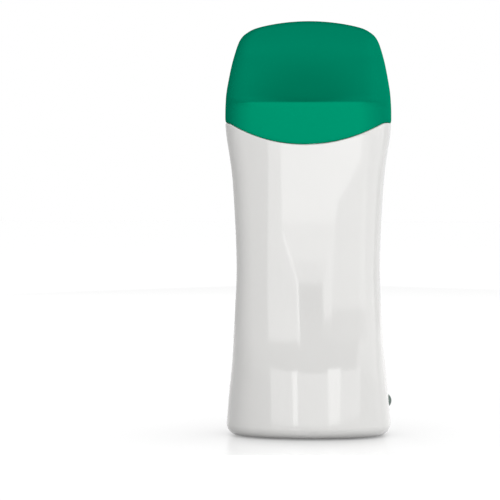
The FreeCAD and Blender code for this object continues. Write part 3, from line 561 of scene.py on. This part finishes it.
def crease_rings(turns):
    """The step from the band in to the dished faces, crisp at the front and back and melting at the sides."""
    edge = ring(body_at, CREASE_HEIGHT, 0.0, turns)
    foot = ring(lid_at, CREASE_HEIGHT, 0.0, turns)
    step = foot - edge
    reach = np.linalg.norm(step, axis=1)
    share = np.clip((reach - SOFT_START) / SOFT_REACH, 0, 1)
    share = share * share * (3 - 2 * share)
    below = CREASE_HEIGHT - (SOFT_ROUND + (CREASE_ROUND - SOFT_ROUND) * share)
    above = CREASE_HEIGHT + SOFT_HOLLOW + (CREASE_HOLLOW - SOFT_HOLLOW) * share
    start = ring(body_at, below, 0.0, turns)
    after = ring(lid_at, above, 0.0, turns)
    span = np.maximum(reach, LEAST_STEP)[:, None]
    inner = edge + step * np.minimum(CREASE_ROUND / span, ROUND_SHARE)
    before = foot - step * np.minimum(CREASE_HOLLOW / span, HOLLOW_SHARE)
    sharp = [bezier(start, edge, inner, part) for part in (0.25, 0.5, 0.75, 1.0)]
    sharp += [bezier(before, foot, after, part) for part in (0.0, 0.2, 0.4, 0.6, 0.8, 1.0)]
    corner = (edge + foot) / 2
    mix = share[:, None]
    chain = [start]
    for i, points in enumerate(sharp):
        soft = bezier(start, corner, after, (i + 1) / len(sharp))
        chain.append(soft * (1 - mix) + points * mix)
    return below, chain, above


def lid_outside(turns):
    """Rings from the lip at the seam up to the middle of the domed top."""
    bottom = height_on(body_at, 0.0, turns, seam, SEAM_LOW) + LID_GAP
    below, crease, above = crease_rings(turns)
    chain = []
    for angle in arc_steps(LID_LIP_STEPS)[::-1]:
        chain.append(ring(body_at, bottom + LID_LIP_RISE * (1 - math.sin(angle)),
                          LID_LIP_SINK * (1 - math.cos(angle)), turns))
    low = bottom + LID_LIP_RISE
    chain += [ring(body_at, low + (below - low) * part, 0.0, turns) for part in parts(BAND_STEPS)[:-1]]
    chain += crease
    rim = height_on(lid_at, 0.0, turns, dome, RIM_START)
    under = rim - RIM_ROUND
    chain += [ring(lid_at, above + (under - above) * part, 0.0, turns) for part in parts(LID_STEPS)]
    corner = ring(lid_at, rim, 0.0, turns)
    shrunk = corner[:, :2] + inward_normal(corner) * RIM_ROUND
    over = np.column_stack((shrunk, dome(shrunk[:, 0])))
    start = chain[-1]
    chain += [bezier(start, corner, over, part) for part in parts(RIM_STEPS)]
    for part in parts(TOP_STEPS)[:-1] + [1 - DOME_MIDDLE]:
        inside = shrunk * (1 - part)
        chain.append(np.column_stack((inside, dome(inside[:, 0]))))
    return chain


def lid_inside(turns):
    """Rings of the lid's inside, from the middle of its ceiling down to the lip."""
    bottom = height_on(body_at, 0.0, turns, seam, SEAM_LOW) + LID_GAP
    ceiling = height_on(lid_at, LID_WALL, turns, lambda x: dome(x, LID_WALL), CEILING_START)
    edge = ring(lid_at, ceiling, LID_WALL, turns)
    chain = []
    for part in [DOME_MIDDLE] + parts(CEILING_STEPS, DOME_MIDDLE)[:-1]:
        inside = edge[:, :2] * part
        chain.append(np.column_stack((inside, dome(inside[:, 0], LID_WALL))))
    low = CREASE_HEIGHT - LID_WALL
    for part in [0.0] + parts(LID_INNER_STEPS):
        chain.append(ring(lid_at, ceiling + (CREASE_HEIGHT - ceiling) * part, LID_WALL, turns))
    chain.append(ring(body_at, low, LID_WALL + LID_SHELF, turns))
    for part in parts(BAND_INNER_STEPS):
        chain.append(ring(body_at, low + (bottom + LID_EDGE - low) * part, LID_WALL, turns))
    chain.append(ring(body_at, bottom, LID_WALL - LID_EDGE, turns))
    return chain


def make_lid():
    turns = np.arange(QUARTER_STEPS * 4) / QUARTER_STEPS
    return skin("lid_skin", lid_inside(turns) + lid_outside(turns), closed_chain=False, closed_ring=True)


def make_lid_ribs():
    """The four inner ribs that rest on the neck's deck."""
    ribs = []
    for sign in (1, -1):
        for y in (RIB_Y, -RIB_Y):
            near, far = sorted((sign * RIB_X, sign * (RIB_X + RIB_REACH)))
            ribs.append(box_mesh("rib", (near, y - RIB_WIDTH / 2, RIB_FOOT),
                                 (far, y + RIB_WIDTH / 2, RIB_FOOT + RIB_HEIGHT), bevel=RIB_EDGE))
    return joined("lid_ribs", ribs)


front = make_shell("front_shell_skin", -1)
rear = make_rear_shell()
sleeves = make_sleeves()
screws = make_housing_screws()
lid = make_lid()
ribs = make_lid_ribs()

# ---- materials ---------------------------------------------------------------------------------

COAT_ROUGHNESS = 0.05
# the middle part of a noise's values, over which a colour and a gloss change
SHADE_RANGE = (0.35, 0.65)
GLOSS_RANGE = (0.3, 0.7)
# texture scales, per metre, and the width and shade of the board's runs
CLOUD = 45.0
FINE_GRAIN = 1500.0
COARSE_GRAIN = 900.0
DUST = 220.0
DRAWN_LINES = 160.0
SLEEVE_CLOUD = 500.0
BOARD_RUNS = 260.0
RUN_WIDTH = 0.09
RUN_SHADE = 0.85
# relief in mm
FINE_DEPTH = 0.006
COARSE_DEPTH = 0.02
DRAWN_DEPTH = 0.004
RUBBER_DEPTH = 0.03

WHITE = (0.80, 0.795, 0.78)
GREEN = (0.0, 0.255, 0.141)
# painted light: a paler copy of the green for the upright band below the crease
GREEN_PAINTED_LIGHT = (0.0, 0.335, 0.178)
# painted shade: a deeper copy of the green for the dish above the crease
GREEN_PAINTED_SHADE = (0.0, 0.203, 0.111)
GREEN_SPREAD = 0.02
# painted light: the paler green ends at the crease and fades between these two distances from the middle
PAINTED_LIGHT_EDGE = 0.4
PAINTED_LIGHT_SIDES = (31.5, 21.0)
# painted shade: the deeper green is an oval about a point in the dish, full inside the share of it and gone
# at its edge
PAINTED_SHADE_HEIGHT = 139.0
PAINTED_SHADE_RISE = 24.0
PAINTED_SHADE_REACH = 36.0
PAINTED_SHADE_FULL = 0.2


class Finish:
    """A Principled material with procedural detail in the object's own coordinates."""

    def __init__(self, name, color, roughness, metallic=0.0, coat=0.0, specular=0.5):
        self.material = bpy.data.materials.new(name)
        self.material.use_nodes = True
        self.tree = self.material.node_tree
        self.shader = self.tree.nodes["Principled BSDF"]
        self.color = color
        self.roughness = roughness
        self.shader.inputs["Base Color"].default_value = (*color, 1.0)
        self.shader.inputs["Roughness"].default_value = roughness
        self.shader.inputs["Metallic"].default_value = metallic
        self.shader.inputs["Coat Weight"].default_value = coat
        self.shader.inputs["Coat Roughness"].default_value = COAT_ROUGHNESS
        self.shader.inputs["Specular IOR Level"].default_value = specular
        self.place = self.tree.nodes.new("ShaderNodeTexCoord").outputs["Object"]

    def link(self, output, node, name):
        self.tree.links.new(output, node.inputs[name])

    def noise(self, scale, detail=3.0, stretch=(1.0, 1.0, 1.0)):
        """Values of a noise; a stretch above 1 packs it closer along that axis."""
        mapping = self.tree.nodes.new("ShaderNodeMapping")
        mapping.inputs["Scale"].default_value = stretch
        self.link(self.place, mapping, "Vector")
        noise = self.tree.nodes.new("ShaderNodeTexNoise")
        noise.inputs["Scale"].default_value = scale
        noise.inputs["Detail"].default_value = detail
        self.link(mapping.outputs["Vector"], noise, "Vector")
        return noise.outputs["Fac"]

    def shade(self, value, amount):
        """Colour that varies a little with a value."""
        ramp = self.tree.nodes.new("ShaderNodeValToRGB")
        low, high = ramp.color_ramp.elements
        low.position, high.position = SHADE_RANGE
        low.color = (*(c * (1 - amount) for c in self.color), 1)
        high.color = (*(min(1, c * (1 + amount)) for c in self.color), 1)
        self.link(value, ramp, "Fac")
        self.link(ramp.outputs["Color"], self.shader, "Base Color")

    def gloss(self, value, spread):
        """Roughness that varies a little with a value."""
        reach = self.tree.nodes.new("ShaderNodeMapRange")
        reach.inputs["From Min"].default_value = GLOSS_RANGE[0]
        reach.inputs["From Max"].default_value = GLOSS_RANGE[1]
        reach.inputs["To Min"].default_value = self.roughness - spread
        reach.inputs["To Max"].default_value = self.roughness + spread
        self.link(value, reach, "Value")
        self.link(reach.outputs["Result"], self.shader, "Roughness")

    def slope(self, value, start, end):
        """A smooth climb from 0 to 1 between two sizes in mm."""
        climb = self.tree.nodes.new("ShaderNodeMapRange")
        climb.interpolation_type = "SMOOTHSTEP"
        climb.inputs["From Min"].default_value = start * MM
        climb.inputs["From Max"].default_value = end * MM
        self.link(value, climb, "Value")
        return climb.outputs["Result"]

    def product(self, first, second):
        """Two values multiplied."""
        times = self.tree.nodes.new("ShaderNodeMath")
        times.operation = "MULTIPLY"
        self.link(first, times, 0)
        self.link(second, times, 1)
        return times.outputs[0]

    def mix(self, share, first, second):
        """A colour between two, each a colour or another mix."""
        mix = self.tree.nodes.new("ShaderNodeMixRGB")
        self.link(share, mix, "Fac")
        for name, color in (("Color1", first), ("Color2", second)):
            if isinstance(color, tuple):
                mix.inputs[name].default_value = color
            else:
                self.link(color, mix, name)
        return mix.outputs["Color"]

    def bump(self, value, depth, strength=0.3):
        """Relief of a depth in mm."""
        bump = self.tree.nodes.new("ShaderNodeBump")
        bump.inputs["Strength"].default_value = strength
        bump.inputs["Distance"].default_value = depth * MM
        self.link(value, bump, "Height")
        self.link(bump.outputs["Normal"], self.shader, "Normal")


def moulded(name, color, roughness, shade=0.006, grain=FINE_GRAIN, depth=FINE_DEPTH, spread=0.015, coat=0.0):
    """Moulded plastic: almost even colour, slightly uneven gloss and a faint surface grain."""
    finish = Finish(name, color, roughness, coat=coat)
    cloud = finish.noise(CLOUD)
    finish.shade(cloud, shade)
    finish.gloss(cloud, spread)
    finish.bump(finish.noise(grain, 2.0), depth)
    return finish.material


def brushed(name, color, roughness, stretch):
    """Metal with fine drawn lines."""
    finish = Finish(name, color, roughness, metallic=1.0)
    lines = finish.noise(DRAWN_LINES, 4.0, stretch)
    finish.shade(lines, 0.05)
    finish.gloss(lines, 0.06)
    finish.bump(lines, DRAWN_DEPTH)
    return finish.material


def rubbery(name, color, roughness):
    """Rubber or silicone: dull, with a matte grain and dusty patches."""
    finish = Finish(name, color, roughness, specular=0.3)
    finish.shade(finish.noise(DUST), 0.12)
    finish.bump(finish.noise(COARSE_GRAIN, 4.0), RUBBER_DEPTH, 0.5)
    return finish.material


def circuit(name, color, copper):
    """A lacquered board with paler copper runs under its mask."""
    finish = Finish(name, color, 0.3, coat=0.3)
    bricks = finish.tree.nodes.new("ShaderNodeTexBrick")
    bricks.inputs["Scale"].default_value = BOARD_RUNS
    bricks.inputs["Mortar Size"].default_value = RUN_WIDTH
    bricks.inputs["Color1"].default_value = (*color, 1)
    bricks.inputs["Color2"].default_value = (*(c * RUN_SHADE for c in color), 1)
    bricks.inputs["Mortar"].default_value = (*copper, 1)
    turned = finish.tree.nodes.new("ShaderNodeMapping")
    turned.inputs["Rotation"].default_value = (0, math.pi / 2, 0)
    finish.link(finish.place, turned, "Vector")
    finish.link(turned.outputs["Vector"], bricks, "Vector")
    finish.link(bricks.outputs["Color"], finish.shader, "Base Color")
    finish.bump(bricks.outputs["Fac"], COARSE_DEPTH)
    return finish.material


def sleeving(name, color):
    """Silicone wire sleeving, a little uneven along its length."""
    finish = Finish(name, color, 0.42, specular=0.4)
    cloud = finish.noise(SLEEVE_CLOUD)
    finish.shade(cloud, 0.08)
    finish.bump(cloud, COARSE_DEPTH)
    return finish.material


def green_painted_light_and_shade(name, color, roughness):
    """Thin green plastic with painted light and shade: painted lighter on the band below the crease and
    painted deeper over the hollow above the neck.
    """
    finish = Finish(name, color, roughness, specular=0.0)
    place = finish.tree.nodes.new("ShaderNodeSeparateXYZ")
    finish.link(finish.place, place, "Vector")
    side = finish.tree.nodes.new("ShaderNodeMath")
    side.operation = "ABSOLUTE"
    finish.link(place.outputs["X"], side, 0)
    # painted light: the green is paler on the band below the crease, fading out towards the sides
    below = finish.slope(place.outputs["Z"], CREASE_HEIGHT + PAINTED_LIGHT_EDGE, CREASE_HEIGHT - PAINTED_LIGHT_EDGE)
    painted_light = finish.product(below, finish.slope(side.outputs[0], *PAINTED_LIGHT_SIDES))
    # painted shade: a deeper green oval in the dish just above the crease
    away = finish.tree.nodes.new("ShaderNodeMapping")
    away.inputs["Location"].default_value = (0, 0, -PAINTED_SHADE_HEIGHT / PAINTED_SHADE_RISE)
    away.inputs["Scale"].default_value = (1 / PAINTED_SHADE_REACH / MM, 0, 1 / PAINTED_SHADE_RISE / MM)
    finish.link(finish.place, away, "Vector")
    distance = finish.tree.nodes.new("ShaderNodeVectorMath")
    distance.operation = "LENGTH"
    finish.link(away.outputs["Vector"], distance, 0)
    painted_shade = finish.slope(distance.outputs["Value"], 1 / MM, PAINTED_SHADE_FULL / MM)
    # the green with the painted shade mixed in, then the painted light over it
    tone = finish.mix(painted_light, finish.mix(painted_shade, (*color, 1), (*GREEN_PAINTED_SHADE, 1)), (*GREEN_PAINTED_LIGHT, 1))
    finish.link(tone, finish.shader, "Base Color")
    finish.gloss(finish.noise(CLOUD), GREEN_SPREAD)
    finish.bump(finish.noise(FINE_GRAIN, 2.0), FINE_DEPTH)
    return finish.material


MATERIALS = {
    "white_shell": moulded("white_plastic", WHITE, 0.09, spread=0.008),
    # the lid's green carries painted light below the crease and painted shade in the dish above it
    "green_lid": green_painted_light_and_shade("green_plastic_painted_light_and_shade", GREEN, 0.32),
    "green_lens": moulded("green_lens", (0.002, 0.06, 0.035), 0.08, coat=0.6),
    "well_plastic": moulded("well_plastic", (0.66, 0.66, 0.64), 0.4,
                            grain=COARSE_GRAIN, depth=COARSE_DEPTH),
    "black_plastic": moulded("black_plastic", (0.02, 0.02, 0.021), 0.38,
                             grain=COARSE_GRAIN, depth=COARSE_DEPTH),
    "aluminium": brushed("aluminium", (0.72, 0.73, 0.75), 0.3, (18.0, 1.0, 1.0)),
    "spring_steel": brushed("spring_steel", (0.6, 0.6, 0.61), 0.25, (1.0, 1.0, 14.0)),
    "zinc_screw": brushed("zinc_screw", (0.4, 0.4, 0.385), 0.38, (4.0, 4.0, 4.0)),
    "brass_pin": brushed("brass_pin", (0.72, 0.55, 0.25), 0.25, (9.0, 1.0, 9.0)),
    "silicone_pad": rubbery("silicone_pad", (0.5, 0.16, 0.12), 0.6),
    "grey_rubber": rubbery("grey_rubber", (0.05, 0.05, 0.055), 0.7),
    "board_green": circuit("board_green", (0.02, 0.16, 0.06), (0.06, 0.24, 0.09)),
    "capacitor_blue": moulded("capacitor_blue", (0.07, 0.16, 0.4), 0.3, shade=0.05),
    "resistor_beige": moulded("resistor_beige", (0.62, 0.48, 0.32), 0.4, shade=0.08, depth=COARSE_DEPTH),
    "led_lens": moulded("led_lens", (0.7, 0.82, 0.7), 0.1, coat=0.4),
    "wire_brown": sleeving("wire_brown", (0.2, 0.08, 0.04)),
    "wire_blue": sleeving("wire_blue", (0.05, 0.14, 0.5)),
    "wire_white": sleeving("wire_white", (0.72, 0.7, 0.62)),
}


def paint(item, material):
    """Give a piece one material."""
    item.data.materials.clear()
    item.data.materials.append(material)


slot_of = {part["node"]: part["material_slot"] for part in frame["record"]["subparts"]}
for node_name, node_object in nodes.items():
    paint(node_object, MATERIALS[slot_of[node_name]])
    shade_smooth(node_object)

for piece, node_name, body in ((front, "front_shell", "housing"), (rear, "rear_shell", "housing"),
                               (sleeves, "rear_shell", "housing"), (screws, "shell_screws", "housing"),
                               (lid, "lid", "lid"), (ribs, "lid", "lid")):
    paint(piece, MATERIALS[slot_of[node_name]])
    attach(piece, body)
    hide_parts(node_name)

# ---- camera ------------------------------------------------------------------------------------

def add_camera():
    """A level camera, turned and tilted so that the axis and the horizon fall on their pixels."""
    data = bpy.data.cameras.new("camera")
    data.sensor_width = SENSOR
    data.lens = FOCAL_PIXELS / IMAGE_SIZE * SENSOR
    data.clip_start = CLIP_START
    camera = scene_object("camera", data)
    camera.location = (CAMERA_DISTANCE * math.sin(CAMERA_AZIMUTH),
                       -CAMERA_DISTANCE * math.cos(CAMERA_AZIMUTH), CAMERA_HEIGHT)
    yaw = math.atan((AXIS_PIXEL_X - IMAGE_SIZE / 2) / FOCAL_PIXELS)
    pitch = math.atan((IMAGE_SIZE / 2 - HORIZON_PIXEL_Y) / FOCAL_PIXELS)
    camera.rotation_euler = (math.pi / 2 - pitch, 0, CAMERA_AZIMUTH + yaw)
    bpy.context.scene.camera = camera


# ---- floor, background and lights --------------------------------------------------------------

FLOOR_SIZE = 6.0
FLOOR_WHITE = 0.9
FLOOR_BOUNCE = 0.25
FLOOR_GLOW = 1.4
FLOOR_MIRROR = 0.35
FLOOR_DULL = 0.2
FLOOR_ROUGHNESS = 0.2
# painted contact shadow: the floor's glow dims near the object over this reach and by this share
PAINTED_SHADOW_REACH = 0.08
PAINTED_SHADOW_SHARE = 0.62
WORLD_LIGHT = 0.15


def seen_rays(tree):
    """1 on camera, glossy and transmission rays, and 0 on those that only light things."""
    path = tree.nodes.new("ShaderNodeLightPath")
    seen = path.outputs["Is Camera Ray"]
    for name in ("Is Glossy Ray", "Is Transmission Ray"):
        both = tree.nodes.new("ShaderNodeMath")
        both.operation = "MAXIMUM"
        tree.links.new(seen, both.inputs[0])
        tree.links.new(path.outputs[name], both.inputs[1])
        seen = both.outputs[0]
    return seen


def mixed(tree, share, first, second):
    """A mix of two shaders, with that share of the second."""
    mix = tree.nodes.new("ShaderNodeMixShader")
    if isinstance(share, float):
        mix.inputs["Fac"].default_value = share
    else:
        tree.links.new(share, mix.inputs["Fac"])
    tree.links.new(first.outputs[0], mix.inputs[1])
    tree.links.new(second.outputs[0], mix.inputs[2])
    return mix


def floor_material():
    """A white glossy table: it shows shadows, a painted contact shadow where its glow dims near the object,
    and a faint reflection, and lights the object only a little.
    """
    material = bpy.data.materials.new("floor")
    material.use_nodes = True
    tree = material.node_tree
    tree.nodes.clear()
    dull = tree.nodes.new("ShaderNodeBsdfDiffuse")
    dull.inputs["Color"].default_value = (FLOOR_WHITE, FLOOR_WHITE, FLOOR_WHITE, 1)
    glow = tree.nodes.new("ShaderNodeEmission")
    # painted shadow: ambient occlusion dims the floor's glow near the object
    painted_shadow_occlusion = tree.nodes.new("ShaderNodeAmbientOcclusion")
    painted_shadow_occlusion.inputs["Distance"].default_value = PAINTED_SHADOW_REACH
    strength = tree.nodes.new("ShaderNodeMapRange")
    strength.inputs["To Min"].default_value = FLOOR_GLOW * (1 - PAINTED_SHADOW_SHARE)
    strength.inputs["To Max"].default_value = FLOOR_GLOW
    tree.links.new(painted_shadow_occlusion.outputs["AO"], strength.inputs["Value"])
    tree.links.new(strength.outputs["Result"], glow.inputs["Strength"])
    mirror = tree.nodes.new("ShaderNodeBsdfGlossy")
    mirror.inputs["Color"].default_value = (1, 1, 1, 1)
    mirror.inputs["Roughness"].default_value = FLOOR_ROUGHNESS
    bounce = tree.nodes.new("ShaderNodeBsdfDiffuse")
    bounce.inputs["Color"].default_value = (FLOOR_BOUNCE, FLOOR_BOUNCE, FLOOR_BOUNCE, 1)
    white = mixed(tree, FLOOR_DULL / (1 - FLOOR_MIRROR), glow, dull)
    shown = mixed(tree, FLOOR_MIRROR, white, mirror)
    surface = mixed(tree, seen_rays(tree), bounce, shown)
    output = tree.nodes.new("ShaderNodeOutputMaterial")
    tree.links.new(surface.outputs[0], output.inputs["Surface"])
    return material


def add_floor():
    size = FLOOR_SIZE
    mesh = bpy.data.meshes.new("floor")
    corners = [(-size, -size, 0), (size, -size, 0), (size, size, 0), (-size, size, 0)]
    mesh.from_pydata(corners, [], [(0, 1, 2, 3)])
    floor = scene_object("floor", mesh)
    paint(floor, floor_material())


def add_world():
    """A white surround for the camera and reflections that lights the object only a little."""
    world = bpy.data.worlds.new("world")
    bpy.context.scene.world = world
    world.use_nodes = True
    tree = world.node_tree
    back = tree.nodes["Background"]
    back.inputs["Color"].default_value = (1, 1, 1, 1)
    strength = tree.nodes.new("ShaderNodeMapRange")
    strength.inputs["To Min"].default_value = WORLD_LIGHT
    strength.inputs["To Max"].default_value = 1.0
    tree.links.new(seen_rays(tree), strength.inputs["Value"])
    tree.links.new(strength.outputs["Result"], back.inputs["Strength"])


def add_card(name, corners, radiance):
    """A bright flat card that shows only as a reflection."""
    mesh = bpy.data.meshes.new(name)
    mesh.from_pydata(corners, [], [tuple(range(len(corners)))])
    card = scene_object(name, mesh)
    material = bpy.data.materials.new(name)
    material.use_nodes = True
    tree = material.node_tree
    tree.nodes.clear()
    glow = tree.nodes.new("ShaderNodeEmission")
    glow.inputs["Strength"].default_value = radiance
    output = tree.nodes.new("ShaderNodeOutputMaterial")
    tree.links.new(glow.outputs[0], output.inputs["Surface"])
    paint(card, material)
    card.visible_camera = False
    card.visible_diffuse = False
    card.visible_shadow = False
    card.visible_transmission = False


def add_front_card(name, distance, radiance, outline):
    """A card square to the line of sight. Its outline is in metres to the camera's right and up."""
    right_x = math.cos(CAMERA_AZIMUTH)
    right_y = math.sin(CAMERA_AZIMUTH)
    corners = [(distance * right_y + right * right_x, -distance * right_x + right * right_y, up)
               for right, up in outline]
    add_card(name, corners, radiance)


def around(azimuth, distance, up):
    """A place at an azimuth in degrees from the camera's side, at a distance from the axis."""
    turn = CAMERA_AZIMUTH + math.radians(azimuth)
    return (distance * math.sin(turn), -distance * math.cos(turn), up)


def add_far_card(name, start, end, distance, high, radiance):
    """An upright card on the floor, between two azimuths."""
    edges = ((start, 0), (end, 0), (end, high), (start, high))
    add_card(name, [around(azimuth, distance, up) for azimuth, up in edges], radiance)


def add_lamp(name, azimuth, height, tall, power):
    """A soft box that faces the object and shows in no reflection."""
    data = bpy.data.lights.new(name, "AREA")
    data.shape = "RECTANGLE"
    data.size = LAMP_WIDTH
    data.size_y = tall
    data.energy = power
    lamp = scene_object(name, data)
    lamp.location = around(azimuth, LAMP_DISTANCE, height)
    lamp.rotation_euler = (Vector(LAMP_TARGET) - lamp.location).to_track_quat("-Z", "Y").to_euler()
    lamp.visible_glossy = False


LAMP_DISTANCE = 1.2
LAMP_WIDTH = 0.6
LAMP_TARGET = (0, 0, 0.085)
# name, azimuth, height, size upwards, power
LAMPS = (
    ("left_soft", -30, 0.4, 0.18, 6.4),
    ("front_soft", 18, 0.4, 0.18, 5.9),
    ("right_side", 95, 0.15, 0.28, 7.4),
    ("back_right_soft", 140, 0.4, 0.3, 5.0),
    ("back_left_soft", -150, 0.4, 0.3, 5.0),
)
# name, distance, radiance, outline; they draw the bright shapes that the glossy body reflects
FRONT_CARDS = (
    ("upper_right", 0.080, 2.85, ((0.0117, 0.1260), (0.0776, 0.1235), (0.1728, 0.0499), (0.0123, 0.0545))),
    ("lower_right", 0.080, 1.3, ((0.0123, 0.0545), (0.1728, 0.0499), (0.2089, 0.0382), (0.0132, 0.0475))),
    ("upper_left", 0.080, 2.9, ((-0.0571, 0.1263), (-0.0157, 0.1260), (-0.0158, 0.0477), (-0.0611, 0.0471))),
    ("funnel_top", 0.078, 4.6, ((-0.0374, 0.1264), (0.0664, 0.1265), (0.0641, 0.1099), (0.0303, 0.0942),
                                (0.0270, 0.0847), (-0.0364, 0.0844))),
    ("funnel_low", 0.078, 3.7, ((-0.0364, 0.0844), (0.0270, 0.0847), (0.0261, 0.0772), (0.0200, 0.0695),
                                (-0.0264, 0.0694), (-0.0355, 0.0786))),
    ("funnel_end", 0.078, 2.9, ((-0.0264, 0.0694), (0.0200, 0.0695), (0.0117, 0.0616), (-0.0177, 0.0614))),
    ("left_line", 0.076, 5.6, ((-0.0351, 0.0803), (-0.0326, 0.0804), (-0.0150, 0.0615), (-0.0132, 0.0460),
                               (-0.0150, 0.0460), (-0.0173, 0.0615))),
    ("right_line", 0.076, 3.8, ((0.0220, 0.0807), (0.0256, 0.0806), (0.0237, 0.0659), (0.0231, 0.0522),
                                (0.0139, 0.0521), (0.0129, 0.0616))),
    ("foot_band", 0.078, 2.9, ((-0.0586, 0.0280), (0.1039, 0.0235), (0.0925, 0.0005), (-0.0641, 0.0005))),
    ("left_streak", 0.076, 5.6, ((-0.0231, 0.0274), (-0.0164, 0.0280), (-0.0163, 0.0021), (-0.0225, 0.0019))),
    ("right_streak", 0.076, 4.9, ((0.0201, 0.0291), (0.0376, 0.0280), (0.0417, 0.0020), (0.0237, 0.0018))),
)
# name, start and end azimuth, distance, height, radiance; the rims, sides and back reflect them
FAR_CARDS = (
    ("side_right", 45, 110, 0.5, 0.3, 2.0),
    ("back_right", 110, 178, 1.5, 0.5, 0.8),
    ("back_left", -100, -178, 1.5, 0.5, 0.8),
)

add_camera()
add_floor()
add_world()
for lamp_row in LAMPS:
    add_lamp(*lamp_row)
for card_row in FRONT_CARDS:
    add_front_card(*card_row)
for card_row in FAR_CARDS:
    add_far_card(*card_row)

bpy.context.scene.view_settings.view_transform = "Standard"
